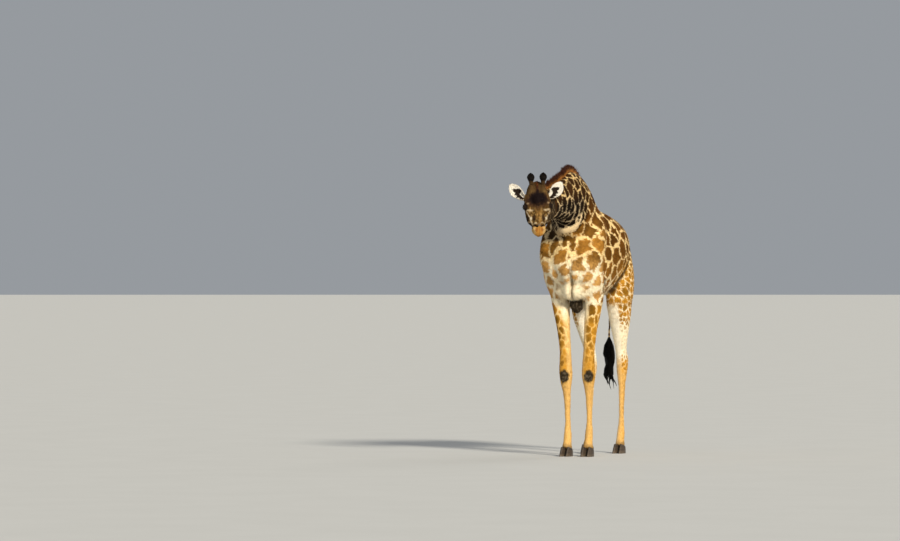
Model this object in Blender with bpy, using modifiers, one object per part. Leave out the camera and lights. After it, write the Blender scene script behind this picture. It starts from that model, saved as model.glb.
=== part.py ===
"""A life-size still giraffe, standing with its neck arched forward and its face hanging down.

It faces -Y, its left side is +X and the ground is Z = 0. Each form of the body is a loft or an
ellipsoid of named sizes. The forms are fused into one smooth body, which is then parted with
thin cuts into the pieces that a person would name.
"""

import math

import bmesh
import bpy
from mathutils import Matrix, Vector
from mathutils.bvhtree import BVHTree

# Driving dimensions, in metres
WITHERS_HEIGHT = 2.84
KNEE_HEIGHT = 0.88
KNEE_SIDE = 0.128
ELBOW_CUT = 1.66
ELBOW_WALL = 0.085
ELBOW_LEAN = math.radians(3.4)
EYE_RADIUS = 0.026
EAR_LENGTH = 0.245
EAR_THICKNESS = 0.007
EAR_SWEEP = 0.045
MANE_HEIGHT = 0.085
FORE_LEAN = 0.024
HOOF_SPREAD = 0.0350
CORONET_HEIGHT = 0.085
CORONET_SLOPE = math.radians(-20)
TAIL_TUFT_TOP = 1.27
TAIL_TUFT_BOTTOM = 0.69
HIND_STRIDE = -0.17
GAP = 0.0003

# The head hangs from the poll: nose down, turned to its left and rolled a little
POLL = Vector((-0.046, -1.255, 2.936))
HEAD_PITCH = math.radians(72)
HEAD_YAW = math.radians(24)
HEAD_ROLL = math.radians(-2.6)

# The left horn's root and tip in the head's own axes, and where its hair begins
OSSICONE_BASE = Vector((0.060, -0.100, -0.020))
OSSICONE_TIP = Vector((0.068, 0.088, 0.110))
OSSICONE_HAIR = 0.103

# Resolution of the fused forms, and the triangles left in each piece
BODY_VOXEL = 0.014
HEAD_VOXEL = 0.006
BODY_SMOOTHING = 8
HEAD_SMOOTHING = 8
BODY_TRIANGLES = 3640
HEAD_TRIANGLES = 2350

COAT = (0.47, 0.30, 0.13)
CREAM = (0.80, 0.68, 0.48)
MANE_BROWN = (0.22, 0.09, 0.03)
BLACK_HAIR = (0.015, 0.012, 0.010)
HORN = (0.10, 0.08, 0.06)
EYE_BROWN = (0.02, 0.012, 0.008)

SIDES = {"left": 1.0, "right": -1.0}


def material(name, colour, roughness):
    """A plain Principled material, shared by the pieces of one finish."""
    made = bpy.data.materials.get(name) or bpy.data.materials.new(name)
    made.use_nodes = True
    shader = made.node_tree.nodes["Principled BSDF"]
    shader.inputs["Base Color"].default_value = (*colour, 1.0)
    shader.inputs["Roughness"].default_value = roughness
    shader.inputs["Metallic"].default_value = 0.0
    return made


def add_object(name, bm, collection="forms"):
    """A new object in the named collection from a bmesh, which is freed."""
    mesh = bpy.data.meshes.new(name)
    bm.to_mesh(mesh)
    bm.free()
    obj = bpy.data.objects.new(name, mesh)
    bpy.data.collections[collection].objects.link(obj)
    return obj


def blended(stations, steps):
    """Catmull-Rom stations: `steps` to each span, all numbers of a station blended alike."""
    count = len(stations)
    made = []
    for i in range(count - 1):
        a, b = stations[max(i - 1, 0)], stations[i]
        c, d = stations[i + 1], stations[min(i + 2, count - 1)]
        for step in range(steps):
            t = step / steps
            made.append(
                tuple(
                    0.5 * (2 * q + (r - p) * t + (2 * p - 5 * q + 4 * r - s) * t * t
                           + (3 * q - p - 3 * r + s) * t ** 3)
                    for p, q, r, s in zip(a, b, c, d)
                )
            )
    made.append(tuple(stations[-1]))
    return made


def loft(name, stations, side=(1, 0, 0), steps=4, around=24, egg=0.0, collection="forms"):
    """A closed tube. A station is (x, y, z, half size along `side`, half size across it).

    `egg` narrows the section towards its upper side, which is side x direction of travel.
    """
    rows = blended(stations, steps)
    centres = [Vector(row[:3]) for row in rows]
    bm = bmesh.new()
    rings = []
    for i, row in enumerate(rows):
        along = (centres[min(i + 1, len(rows) - 1)] - centres[max(i - 1, 0)]).normalized()
        across = Vector(side) - along * along.dot(Vector(side))
        across.normalize()
        upper = across.cross(along)
        ring = []
        for k in range(around):
            angle = 2 * math.pi * k / around
            lift = math.sin(angle)
            spread = math.cos(angle) * (1 - egg * lift)
            ring.append(bm.verts.new(centres[i] + across * spread * row[3] + upper * lift * row[4]))
        rings.append(ring)
    for low, high in zip(rings, rings[1:]):
        for k in range(around):
            j = (k + 1) % around
            bm.faces.new((low[k], low[j], high[j], high[k]))
    bm.faces.new(rings[0])
    bm.faces.new(rings[-1])
    bmesh.ops.recalc_face_normals(bm, faces=bm.faces)
    return add_object(name, bm, collection)


def ellipsoid(name, centre, radii, turn=None, collection="forms"):
    """A ball of three radii, turned by a matrix about its centre."""
    bm = bmesh.new()
    bmesh.ops.create_uvsphere(bm, u_segments=24, v_segments=14, radius=1.0)
    place = Matrix.Translation(centre) @ (turn or Matrix()) @ Matrix.Diagonal((*radii, 1.0))
    bmesh.ops.transform(bm, matrix=place, verts=bm.verts)
    return add_object(name, bm, collection)


def evaluated_mesh(obj):
    """The object's mesh with its modifiers, as a new mesh."""
    return bpy.data.meshes.new_from_object(
        obj.evaluated_get(bpy.context.evaluated_depsgraph_get())
    )


def apply_modifiers(obj):
    """Bakes the modifiers into the object's mesh."""
    made = evaluated_mesh(obj)
    obj.modifiers.clear()
    obj.data = made
    return obj


def fused(name, pieces, voxel, smoothing):
    """One smooth closed body from overlapping closed forms."""
    bm = bmesh.new()
    for piece in pieces:
        bm.from_mesh(piece.data)
    obj = add_object(name, bm, "giraffe")
    remesh = obj.modifiers.new("union", "REMESH")
    remesh.mode = "VOXEL"
    remesh.voxel_size = voxel
    smooth = obj.modifiers.new("blend", "SMOOTH")
    smooth.factor = 0.5
    smooth.iterations = smoothing
    return apply_modifiers(obj)


def reduced(obj, triangles):
    """Fewer faces, kept where the form turns."""
    obj.data.update()
    faces = sum(len(p.vertices) - 2 for p in obj.data.polygons)
    decimate = obj.modifiers.new("fewer", "DECIMATE")
    decimate.ratio = triangles / faces
    return apply_modifiers(obj)


def block(name, frame, low, high):
    """A box cutter from corner to corner in the given frame."""
    bm = bmesh.new()
    bmesh.ops.create_cube(bm, size=1.0)
    low, high = Vector(low), Vector(high)
    size = Matrix.Diagonal((*(high - low), 1.0))
    bmesh.ops.transform(bm, matrix=frame @ Matrix.Translation((low + high) / 2) @ size, verts=bm.verts)
    cutter = add_object(name, bm, "cutters")
    cutter.hide_render = True
    cutter.display_type = "WIRE"
    return cutter


def boolean(obj, cutter, operation):
    """Cuts or keeps with an exact Boolean, and applies it."""
    cut = obj.modifiers.new("cut", "BOOLEAN")
    cut.operation = operation
    cut.object = cutter
    cut.solver = "EXACT"
    return apply_modifiers(obj)


def part_off(body, name, frame, low, high):
    """Takes the piece of the body inside a box as a new object, leaving a thin gap between them."""
    piece = body.copy()
    piece.data = body.data.copy()
    piece.name = name
    bpy.data.collections["giraffe"].objects.link(piece)
    margin = Vector((GAP / 2,) * 3)
    inside = block(name + "_keep", frame, Vector(low) + margin, Vector(high) - margin)
    outside = block(name + "_cut", frame, Vector(low) - margin, Vector(high) + margin)
    boolean(piece, inside, "INTERSECT")
    boolean(body, outside, "DIFFERENCE")
    return piece


def grown(obj, distance):
    """A cutter like the object, grown outwards by a distance."""
    copy = obj.copy()
    copy.data = obj.data.copy()
    bpy.data.collections["cutters"].objects.link(copy)
    copy.hide_render = True
    bm = bmesh.new()
    bm.from_mesh(copy.data)
    bm.normal_update()
    for vert in bm.verts:
        vert.co += vert.normal * distance * max(vert.calc_shell_factor(), 1.0)
    bm.to_mesh(copy.data)
    bm.free()
    return copy


def keep_largest(obj):
    """Drops loose crumbs that a Boolean leaves beside the main body."""
    bm = bmesh.new()
    bm.from_mesh(obj.data)
    bmesh.ops.remove_doubles(bm, verts=bm.verts, dist=0.00001)
    seen, groups = set(), []
    for start in bm.verts:
        if start in seen:
            continue
        group, stack = [], [start]
        seen.add(start)
        while stack:
            vert = stack.pop()
            group.append(vert)
            for edge in vert.link_edges:
                other = edge.other_vert(vert)
                if other not in seen:
                    seen.add(other)
                    stack.append(other)
        groups.append(group)
    groups.sort(key=len)
    crumbs = [vert for group in groups[:-1] for vert in group]
    bmesh.ops.delete(bm, geom=crumbs, context="VERTS")
    bmesh.ops.triangulate(bm, faces=bm.faces)
    bm.to_mesh(obj.data)
    bm.free()
    return obj


def carved(obj, *neighbours):
    """Cuts the object back from its neighbours, with a thin gap."""
    for neighbour in neighbours:
        boolean(obj, grown(neighbour, GAP), "DIFFERENCE")
    return keep_largest(obj)


# --- The forms of the body ---------------------------------------------------------------


def trunk_forms():
    """Barrel, withers, croup, breast and the callus under the brisket."""
    # y, centre height, half width, half depth
    barrel = [
        (-0.41, 2.15, 0.10, 0.13),
        (-0.33, 2.14, 0.19, 0.25),
        (-0.15, 2.16, 0.25, 0.41),
        (0.10, 2.20, 0.295, 0.50),
        (0.35, 2.19, 0.335, 0.505),
        (0.60, 2.18, 0.352, 0.485),
        (0.85, 2.19, 0.328, 0.43),
        (1.05, 2.21, 0.275, 0.36),
        (1.25, 2.21, 0.205, 0.27),
        (1.41, 2.17, 0.11, 0.15),
    ]
    # y, crest height, half width, half depth
    spine = [
        (-0.12, 2.82, 0.12, 0.22),
        (0.06, 2.86, 0.13, 0.22),
        (0.22, WITHERS_HEIGHT, 0.12, 0.19),
        (0.42, 2.765, 0.11, 0.15),
        (0.70, 2.68, 0.11, 0.13),
        (0.95, 2.60, 0.12, 0.12),
        (1.18, 2.48, 0.12, 0.12),
        (1.34, 2.35, 0.08, 0.09),
    ]
    belly_line = [(0, y, z, w, h) for y, z, w, h in barrel]
    back_line = [(0, y, z - h, w, h) for y, z, w, h in spine]
    forms = [
        loft("barrel", belly_line, side=(-1, 0, 0), around=32, egg=0.26),
        loft("spine", back_line, side=(-1, 0, 0)),
        ellipsoid("brisket_callus", (0.0, 0.0, 1.66), (0.070, 0.11, 0.115)),
        ellipsoid("brisket", (0.0, -0.14, 1.86), (0.13, 0.15, 0.17)),
        ellipsoid("manubrium", (0.0, -0.33, 2.12), (0.14, 0.10, 0.22)),
    ]
    for side in SIDES.values():
        forms += [
            ellipsoid("breast", (0.120 * side, -0.25, 2.12), (0.15, 0.12, 0.25)),
            ellipsoid("pectoral", (0.110 * side, -0.11, 1.88), (0.12, 0.13, 0.18)),
            ellipsoid("hip_point", (0.185 * side, 0.98, 2.43), (0.07, 0.12, 0.08)),
            ellipsoid("seat_bone", (0.10 * side, 1.38, 2.16), (0.06, 0.08, 0.09)),
        ]
    return forms


def neck_stations():
    """(x, y, z, half width, half depth) from inside the trunk to inside the head."""
    return [
        (0.0, 0.24, 2.42, 0.250, 0.33),
        (0.005, 0.0, 2.55, 0.250, 0.35),
        (0.02, -0.23, 2.695, 0.225, 0.37),
        (0.04, -0.43, 2.775, 0.185, 0.315),
        (0.035, -0.66, 2.775, 0.150, 0.228),
        (0.01, -0.89, 2.745, 0.127, 0.183),
        (-0.02, -1.08, 2.70, 0.110, 0.165),
        (-0.040, -1.21, 2.67, 0.09, 0.14),
    ]


def shoulder_forms(side):
    """Shoulder blade and upper arm of one side, to the elbow."""
    blade = [
        (0.120, 0.15, 2.68, 0.075, 0.11),
        (0.200, 0.06, 2.52, 0.105, 0.180),
        (0.245, -0.07, 2.34, 0.110, 0.190),
        (0.252, -0.17, 2.15, 0.105, 0.155),
        (0.245, -0.18, 2.03, 0.075, 0.10),
    ]
    arm = [
        (0.235, -0.17, 2.13, 0.10, 0.12),
        (0.225, -0.08, 1.95, 0.105, 0.155),
        (0.20, 0.01, 1.80, 0.10, 0.15),
        (0.185, 0.03, 1.66, 0.085, 0.125),
    ]
    return [
        loft("blade", [(x * side, *rest) for x, *rest in blade], side=(side, 0, 0)),
        loft("arm", [(x * side, *rest) for x, *rest in arm], side=(side, 0, 0)),
        ellipsoid("elbow", (0.165 * side, 0.125, 1.76), (0.05, 0.06, 0.08)),
    ]


def fore_place(side, x, height):
    """How far to the side a foreleg stands at a height: both lean a little to the left."""
    return x * side + FORE_LEAN * max(1 - height / 1.5, 0.0)


def foreleg_forms(side):
    """Forearm, knee, cannon, fetlock and pastern of one side."""
    # x, y, z, half width, half depth
    leg = [
        (0.200, 0.03, 1.78, 0.100, 0.150),
        (0.181, 0.03, 1.60, 0.091, 0.118),
        (0.156, 0.02, 1.40, 0.074, 0.090),
        (0.136, 0.01, 1.17, 0.066, 0.069),
        (0.131, 0.00, 1.03, 0.071, 0.070),
        (KNEE_SIDE, -0.005, KNEE_HEIGHT, 0.077, 0.075),
        (0.127, 0.005, 0.775, 0.060, 0.063),
        (0.125, 0.015, 0.66, 0.047, 0.050),
        (0.123, 0.02, 0.42, 0.037, 0.044),
        (0.122, 0.015, 0.28, 0.044, 0.051),
        (0.121, 0.005, 0.215, 0.051, 0.057),
        (0.120, -0.015, 0.145, 0.046, 0.050),
        (0.120, -0.030, 0.095, 0.060, 0.068),
        (0.120, -0.040, 0.045, 0.063, 0.080),
    ]
    placed = [(fore_place(side, x, z), y, z, w, d) for x, y, z, w, d in leg]
    knee = fore_place(side, KNEE_SIDE, KNEE_HEIGHT)
    return [
        loft("foreleg", placed, side=(side, 0, 0)),
        ellipsoid("knee_cap", (knee, -0.045, KNEE_HEIGHT - 0.005), (0.056, 0.036, 0.068)),
        ellipsoid("knee_back", (knee, 0.052, KNEE_HEIGHT + 0.02), (0.040, 0.032, 0.055)),
    ]


def stride_shift(side, height):
    """How far forward the hind leg of this side has stepped, at a height above the ground."""
    if side > 0:
        return 0.0
    share = min(max((2.25 - height) / 0.65, 0.0), 1.0)
    return HIND_STRIDE * share * share * (3 - 2 * share)


def hind_place(side, y, height):
    """How far back a point of a hind leg stands, with its step forward."""
    return y + stride_shift(side, height)


def hind_forms(side):
    """Thigh, gaskin, hock, cannon, fetlock and pastern of one side."""
    thigh = [
        (0.145, 1.16, 2.40, 0.075, 0.13),
        (0.160, 1.14, 2.20, 0.095, 0.22),
        (0.190, 1.08, 1.98, 0.118, 0.25),
        (0.187, 1.00, 1.78, 0.141, 0.235),
        (0.177, 0.97, 1.62, 0.132, 0.18),
    ]
    leg = [
        (0.179, 0.98, 1.74, 0.136, 0.20),
        (0.180, 1.01, 1.56, 0.129, 0.165),
        (0.166, 1.08, 1.34, 0.093, 0.115),
        (0.153, 1.150, 1.14, 0.062, 0.079),
        (0.150, 1.195, 1.00, 0.064, 0.078),
        (0.151, 1.193, 0.90, 0.061, 0.072),
        (0.153, 1.180, 0.77, 0.044, 0.055),
        (0.157, 1.165, 0.58, 0.037, 0.047),
        (0.158, 1.150, 0.38, 0.036, 0.044),
        (0.158, 1.140, 0.28, 0.043, 0.050),
        (0.158, 1.128, 0.215, 0.050, 0.056),
        (0.158, 1.108, 0.145, 0.046, 0.050),
        (0.158, 1.093, 0.095, 0.059, 0.066),
        (0.158, 1.083, 0.045, 0.062, 0.078),
    ]
    heel = [
        (0.170, 1.155, 1.28, 0.018, 0.022),
        (0.172, 1.220, 1.16, 0.023, 0.028),
        (0.178, 1.262, 1.05, 0.032, 0.034),
        (0.176, 1.248, 0.97, 0.036, 0.036),
        (0.164, 1.218, 0.88, 0.032, 0.032),
    ]
    forms = []
    for name, stations in (("thigh", thigh), ("hind_leg", leg), ("heel_bone", heel)):
        placed = [(x * side, hind_place(side, y, z), z, w, d) for x, y, z, w, d in stations]
        forms.append(loft(name, placed, side=(side, 0, 0)))
    stifle = Vector((0.205 * side, hind_place(side, 0.87, 1.70), 1.70))
    flank = Vector((0.17 * side, hind_place(side, 0.86, 1.88), 1.88))
    forms += [
        ellipsoid("stifle", stifle, (0.075, 0.085, 0.11)),
        ellipsoid("flank_fold", flank, (0.10, 0.12, 0.13)),
    ]
    return forms


# --- The forms of the head, made facing -Y from the poll and then turned ------------------


def head_frame():
    """The turn and place of the head: along -Y from the poll before it, hanging after it."""
    turn = (
        Matrix.Rotation(HEAD_YAW, 4, "Z")
        @ Matrix.Rotation(HEAD_ROLL, 4, "Y")
        @ Matrix.Rotation(HEAD_PITCH, 4, "X")
    )
    return Matrix.Translation(POLL) @ turn


def skull_forms():
    """Cranium, face, jaw, orbits, lips and the bump on the brow."""
    # distance from the poll, centre height, half width, half depth
    face = [
        (-0.03, -0.085, 0.070, 0.060),
        (0.03, -0.085, 0.098, 0.085),
        (0.09, -0.090, 0.114, 0.098),
        (0.15, -0.095, 0.120, 0.104),
        (0.21, -0.104, 0.116, 0.102),
        (0.27, -0.114, 0.110, 0.094),
        (0.33, -0.124, 0.098, 0.082),
        (0.39, -0.132, 0.083, 0.070),
        (0.44, -0.138, 0.068, 0.060),
        (0.485, -0.142, 0.066, 0.053),
        (0.512, -0.145, 0.050, 0.042),
        (0.532, -0.147, 0.030, 0.028),
    ]
    jaw = [
        (0.08, -0.160, 0.078, 0.060),
        (0.14, -0.200, 0.092, 0.068),
        (0.21, -0.215, 0.094, 0.058),
        (0.29, -0.212, 0.082, 0.045),
        (0.37, -0.203, 0.064, 0.034),
        (0.44, -0.195, 0.054, 0.028),
        (0.50, -0.192, 0.036, 0.022),
    ]
    forms = [
        loft("face", [(0, -d, z, w, h) for d, z, w, h in face], side=(1, 0, 0), egg=-0.10),
        loft("jaw", [(0, -d, z, w, h) for d, z, w, h in jaw], side=(1, 0, 0)),
        ellipsoid("brow_bump", (0, -0.165, -0.010), (0.060, 0.075, 0.040)),
        ellipsoid("crown", (0, -0.050, -0.020), (0.085, 0.075, 0.050)),
        ellipsoid("upper_lip", (0, -0.484, -0.148), (0.056, 0.060, 0.046)),
        ellipsoid("chin", (0, -0.486, -0.200), (0.040, 0.045, 0.026)),
        ellipsoid("nose_bridge", (0, -0.37, -0.082), (0.030, 0.12, 0.030)),
    ]
    for side in SIDES.values():
        forms += [
            ellipsoid("orbit", (0.104 * side, -0.228, -0.070), (0.047, 0.088, 0.050)),
            ellipsoid("face_side", (0.085 * side, -0.285, -0.105), (0.052, 0.095, 0.052)),
            ellipsoid("brow_ridge", (0.094 * side, -0.190, -0.034), (0.044, 0.066, 0.026)),
            ellipsoid("cheek", (0.078 * side, -0.215, -0.165), (0.054, 0.115, 0.090)),
            ellipsoid("cheek_line", (0.080 * side, -0.310, -0.140), (0.048, 0.110, 0.052)),
            ellipsoid("temple", (0.100 * side, -0.150, -0.085), (0.040, 0.070, 0.060)),
            ellipsoid("nostril_wing", (0.042 * side, -0.452, -0.108), (0.030, 0.042, 0.026)),
            ellipsoid("lip_side", (0.045 * side, -0.455, -0.160), (0.030, 0.056, 0.036)),
        ]
    return forms


def ossicone_forms():
    """The two skin-covered horns, broad at the root and knobbed at the tip."""
    # share of the length from root to tip, radius
    sizes = [
        (-0.25, 0.042),
        (0.0, 0.045),
        (0.28, 0.034),
        (0.50, 0.027),
        (0.66, 0.036),
        (0.80, 0.040),
        (0.92, 0.028),
        (1.0, 0.008),
    ]
    forms = []
    for side in SIDES.values():
        stations = []
        for share, radius in sizes:
            centre = OSSICONE_BASE.lerp(OSSICONE_TIP, share)
            stations.append((centre.x * side, centre.y, centre.z, radius, radius * 1.05))
        forms.append(loft("ossicone_form", stations, side=(1, 0, 0)))
    return forms


def eye_centre(side):
    """Centre of an eyeball in the head's own frame."""
    return Vector((0.1350 * side, -0.238, -0.058))


def eyeball(name, centre, radius, collection):
    """A ball of even facets."""
    bm = bmesh.new()
    bmesh.ops.create_icosphere(bm, subdivisions=2, radius=radius)
    bmesh.ops.translate(bm, verts=bm.verts, vec=centre)
    return add_object(name, bm, collection)


def turned(forms, frame):
    """Places forms that were made in the head's own frame."""
    for form in forms:
        form.data.transform(frame)
        form.data.update()
    return forms


def ear(name, side, frame):
    """A pointed leaf, rolled into a tube at its root and open towards the face."""
    # share of the length, half width
    leaf = [
        (0.00, 0.030),
        (0.12, 0.056),
        (0.30, 0.077),
        (0.50, 0.080),
        (0.68, 0.074),
        (0.82, 0.057),
        (0.92, 0.036),
        (1.00, 0.007),
    ]
    rows = blended(leaf, 2)
    columns = 7
    root = Vector((0.112 * side, -0.145, -0.105))
    axis = Vector((0.73 * side, 0.66, 0.08)).normalized()
    opening = Vector((0.15 * side, -0.05, 1.0))
    opening = (opening - axis * opening.dot(axis)).normalized()
    across = opening.cross(axis)
    bm = bmesh.new()
    grid = []
    for share, width in rows:
        curl = math.radians(150 - 85 * min(1.0, share * 1.7) - 15 * share)
        radius = width / curl
        bend = 0.020 * math.sin(math.pi * share)
        sweep = EAR_SWEEP * side * (share ** 2 - 0.6 * share)
        line = []
        for k in range(columns):
            v = 2 * k / (columns - 1) - 1
            sideways = math.sin(curl * v) * radius
            hollow = (1 - math.cos(curl * v)) * radius
            place = root + axis * (EAR_LENGTH * share) + across * (sideways + sweep)
            line.append(bm.verts.new(place + opening * (hollow - bend)))
        grid.append(line)
    for low, high in zip(grid, grid[1:]):
        for k in range(columns - 1):
            bm.faces.new((low[k], low[k + 1], high[k + 1], high[k]))
    bmesh.ops.recalc_face_normals(bm, faces=bm.faces)
    obj = add_object(name, bm, "giraffe")
    shell = obj.modifiers.new("thickness", "SOLIDIFY")
    shell.thickness = EAR_THICKNESS
    shell.offset = 0.0
    shell.use_even_offset = True
    apply_modifiers(obj)
    obj.data.transform(frame)
    return obj


def hoof(name, centre, side, inner):
    """One claw of a cloven foot: flat below, narrow at the toe, sloping up to the coronet."""
    # height, forward shift of the centre, half width, half length
    layers = [
        (0.000, -0.030, 0.0345, 0.100),
        (0.014, -0.028, 0.0345, 0.098),
        (0.055, -0.015, 0.0315, 0.083),
        (0.095, -0.002, 0.0270, 0.068),
        (0.135, 0.010, 0.0220, 0.054),
    ]
    around = 12
    x = centre.x + HOOF_SPREAD * (-side if inner else side)
    bm = bmesh.new()
    rings = []
    for z, shift, width, length in layers:
        ring = []
        for k in range(around):
            angle = 2 * math.pi * (k + 0.5) / around
            ahead = -math.sin(angle)
            toe = 1 - 0.30 * max(ahead, 0.0)
            out = x + math.cos(angle) * width * toe
            back = centre.y + shift - ahead * length
            ring.append(bm.verts.new((out, back, z)))
        rings.append(ring)
    for low, high in zip(rings, rings[1:]):
        for k in range(around):
            j = (k + 1) % around
            bm.faces.new((low[k], low[j], high[j], high[k]))
    bm.faces.new(rings[0])
    bm.faces.new(rings[-1])
    bmesh.ops.recalc_face_normals(bm, faces=bm.faces)
    return add_object(name, bm, "giraffe")


def mane_crest(body):
    """A brush of hair as one thin crest, from between the ears to the withers."""
    tree = BVHTree.FromObject(body, bpy.context.evaluated_depsgraph_get())
    stations = []
    count = 19
    line = blended([row[:3] for row in neck_stations()], 6)
    for i in range(count):
        share = i / (count - 1)
        y = -1.13 + share * 1.40
        x = min(line, key=lambda row: abs(row[1] - y))[0]
        hit = tree.ray_cast(Vector((x, y, 4.0)), Vector((0, 0, -1)))[0]
        rise = MANE_HEIGHT * min(1.0, 5 * (1 - share), 0.6 + 3 * share)
        stations.append((x, y, hit.z, rise))
    bm = bmesh.new()
    rings = []
    for i, (x, y, z, rise) in enumerate(stations):
        before, after = stations[max(i - 1, 0)], stations[min(i + 1, count - 1)]
        along = Vector((0, after[1] - before[1], after[2] - before[2])).normalized()
        upper = Vector((1, 0, 0)).cross(along)
        base = Vector((x, y, z))
        slope = [(0.022, -0.03), (0.020, 0.3 * rise), (0.009, rise)]
        profile = [(-w, h) for w, h in slope] + slope[::-1]
        rings.append([bm.verts.new(base + Vector((w, 0, 0)) + upper * h) for w, h in profile])
    for low, high in zip(rings, rings[1:]):
        for k in range(len(low)):
            j = (k + 1) % len(low)
            bm.faces.new((low[k], low[j], high[j], high[k]))
    bm.faces.new(rings[0])
    bm.faces.new(rings[-1])
    bmesh.ops.recalc_face_normals(bm, faces=bm.faces)
    return add_object("mane", bm, "giraffe")


def tail_pieces():
    """The hanging tail and its brush of long hair, which meet at a level cut."""
    tail = [
        (0.000, 1.33, 2.33, 0.055, 0.050),
        (0.000, 1.43, 2.27, 0.045, 0.040),
        (-0.010, 1.485, 2.14, 0.032, 0.030),
        (-0.035, 1.485, 1.92, 0.023, 0.023),
        (-0.060, 1.465, 1.66, 0.017, 0.018),
        (-0.072, 1.450, 1.42, 0.014, 0.015),
        (-0.075, 1.445, TAIL_TUFT_TOP - 0.03, 0.018, 0.019),
    ]
    brush = [
        (-0.075, 1.445, TAIL_TUFT_TOP + 0.03, 0.016, 0.017),
        (-0.076, 1.445, 1.20, 0.056, 0.048),
        (-0.080, 1.445, 1.07, 0.068, 0.056),
        (-0.066, 1.440, 0.93, 0.058, 0.050),
        (-0.062, 1.435, 0.82, 0.056, 0.046),
        (-0.040, 1.430, TAIL_TUFT_BOTTOM, 0.014, 0.014),
    ]
    made = []
    for name, stations in (("tail", tail), ("tail_brush", brush)):
        made.append(loft(name, stations, side=(1, 0, 0), steps=3, around=10, collection="giraffe"))
    level = Matrix.Translation((0, 0, TAIL_TUFT_TOP))
    boolean(made[0], block("below_tail", level, (-1, 0, -3), (1, 3, GAP / 2)), "DIFFERENCE")
    boolean(made[1], block("above_brush", level, (-1, 0, -GAP / 2), (1, 3, 3)), "DIFFERENCE")
    return [keep_largest(obj) for obj in made]


def finish(obj, made):
    """Gives a piece its material and smooth shading."""
    obj.data.materials.clear()
    obj.data.materials.append(made)
    for polygon in obj.data.polygons:
        polygon.material_index = 0
    obj.data.shade_smooth()
    obj.data.set_sharp_from_angle(angle=math.radians(50))


def centre_on_ground(objects):
    """Moves everything so that the bottom centre of the whole box is the origin."""
    points = [vert.co for obj in objects for vert in obj.data.vertices]
    low = Vector([min(p[i] for p in points) for i in range(3)])
    high = Vector([max(p[i] for p in points) for i in range(3)])
    move = -Vector(((low.x + high.x) / 2, (low.y + high.y) / 2, low.z))
    for obj in objects:
        obj.data.transform(Matrix.Translation(move))
    print("moved by", [round(v, 5) for v in move])


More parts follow.
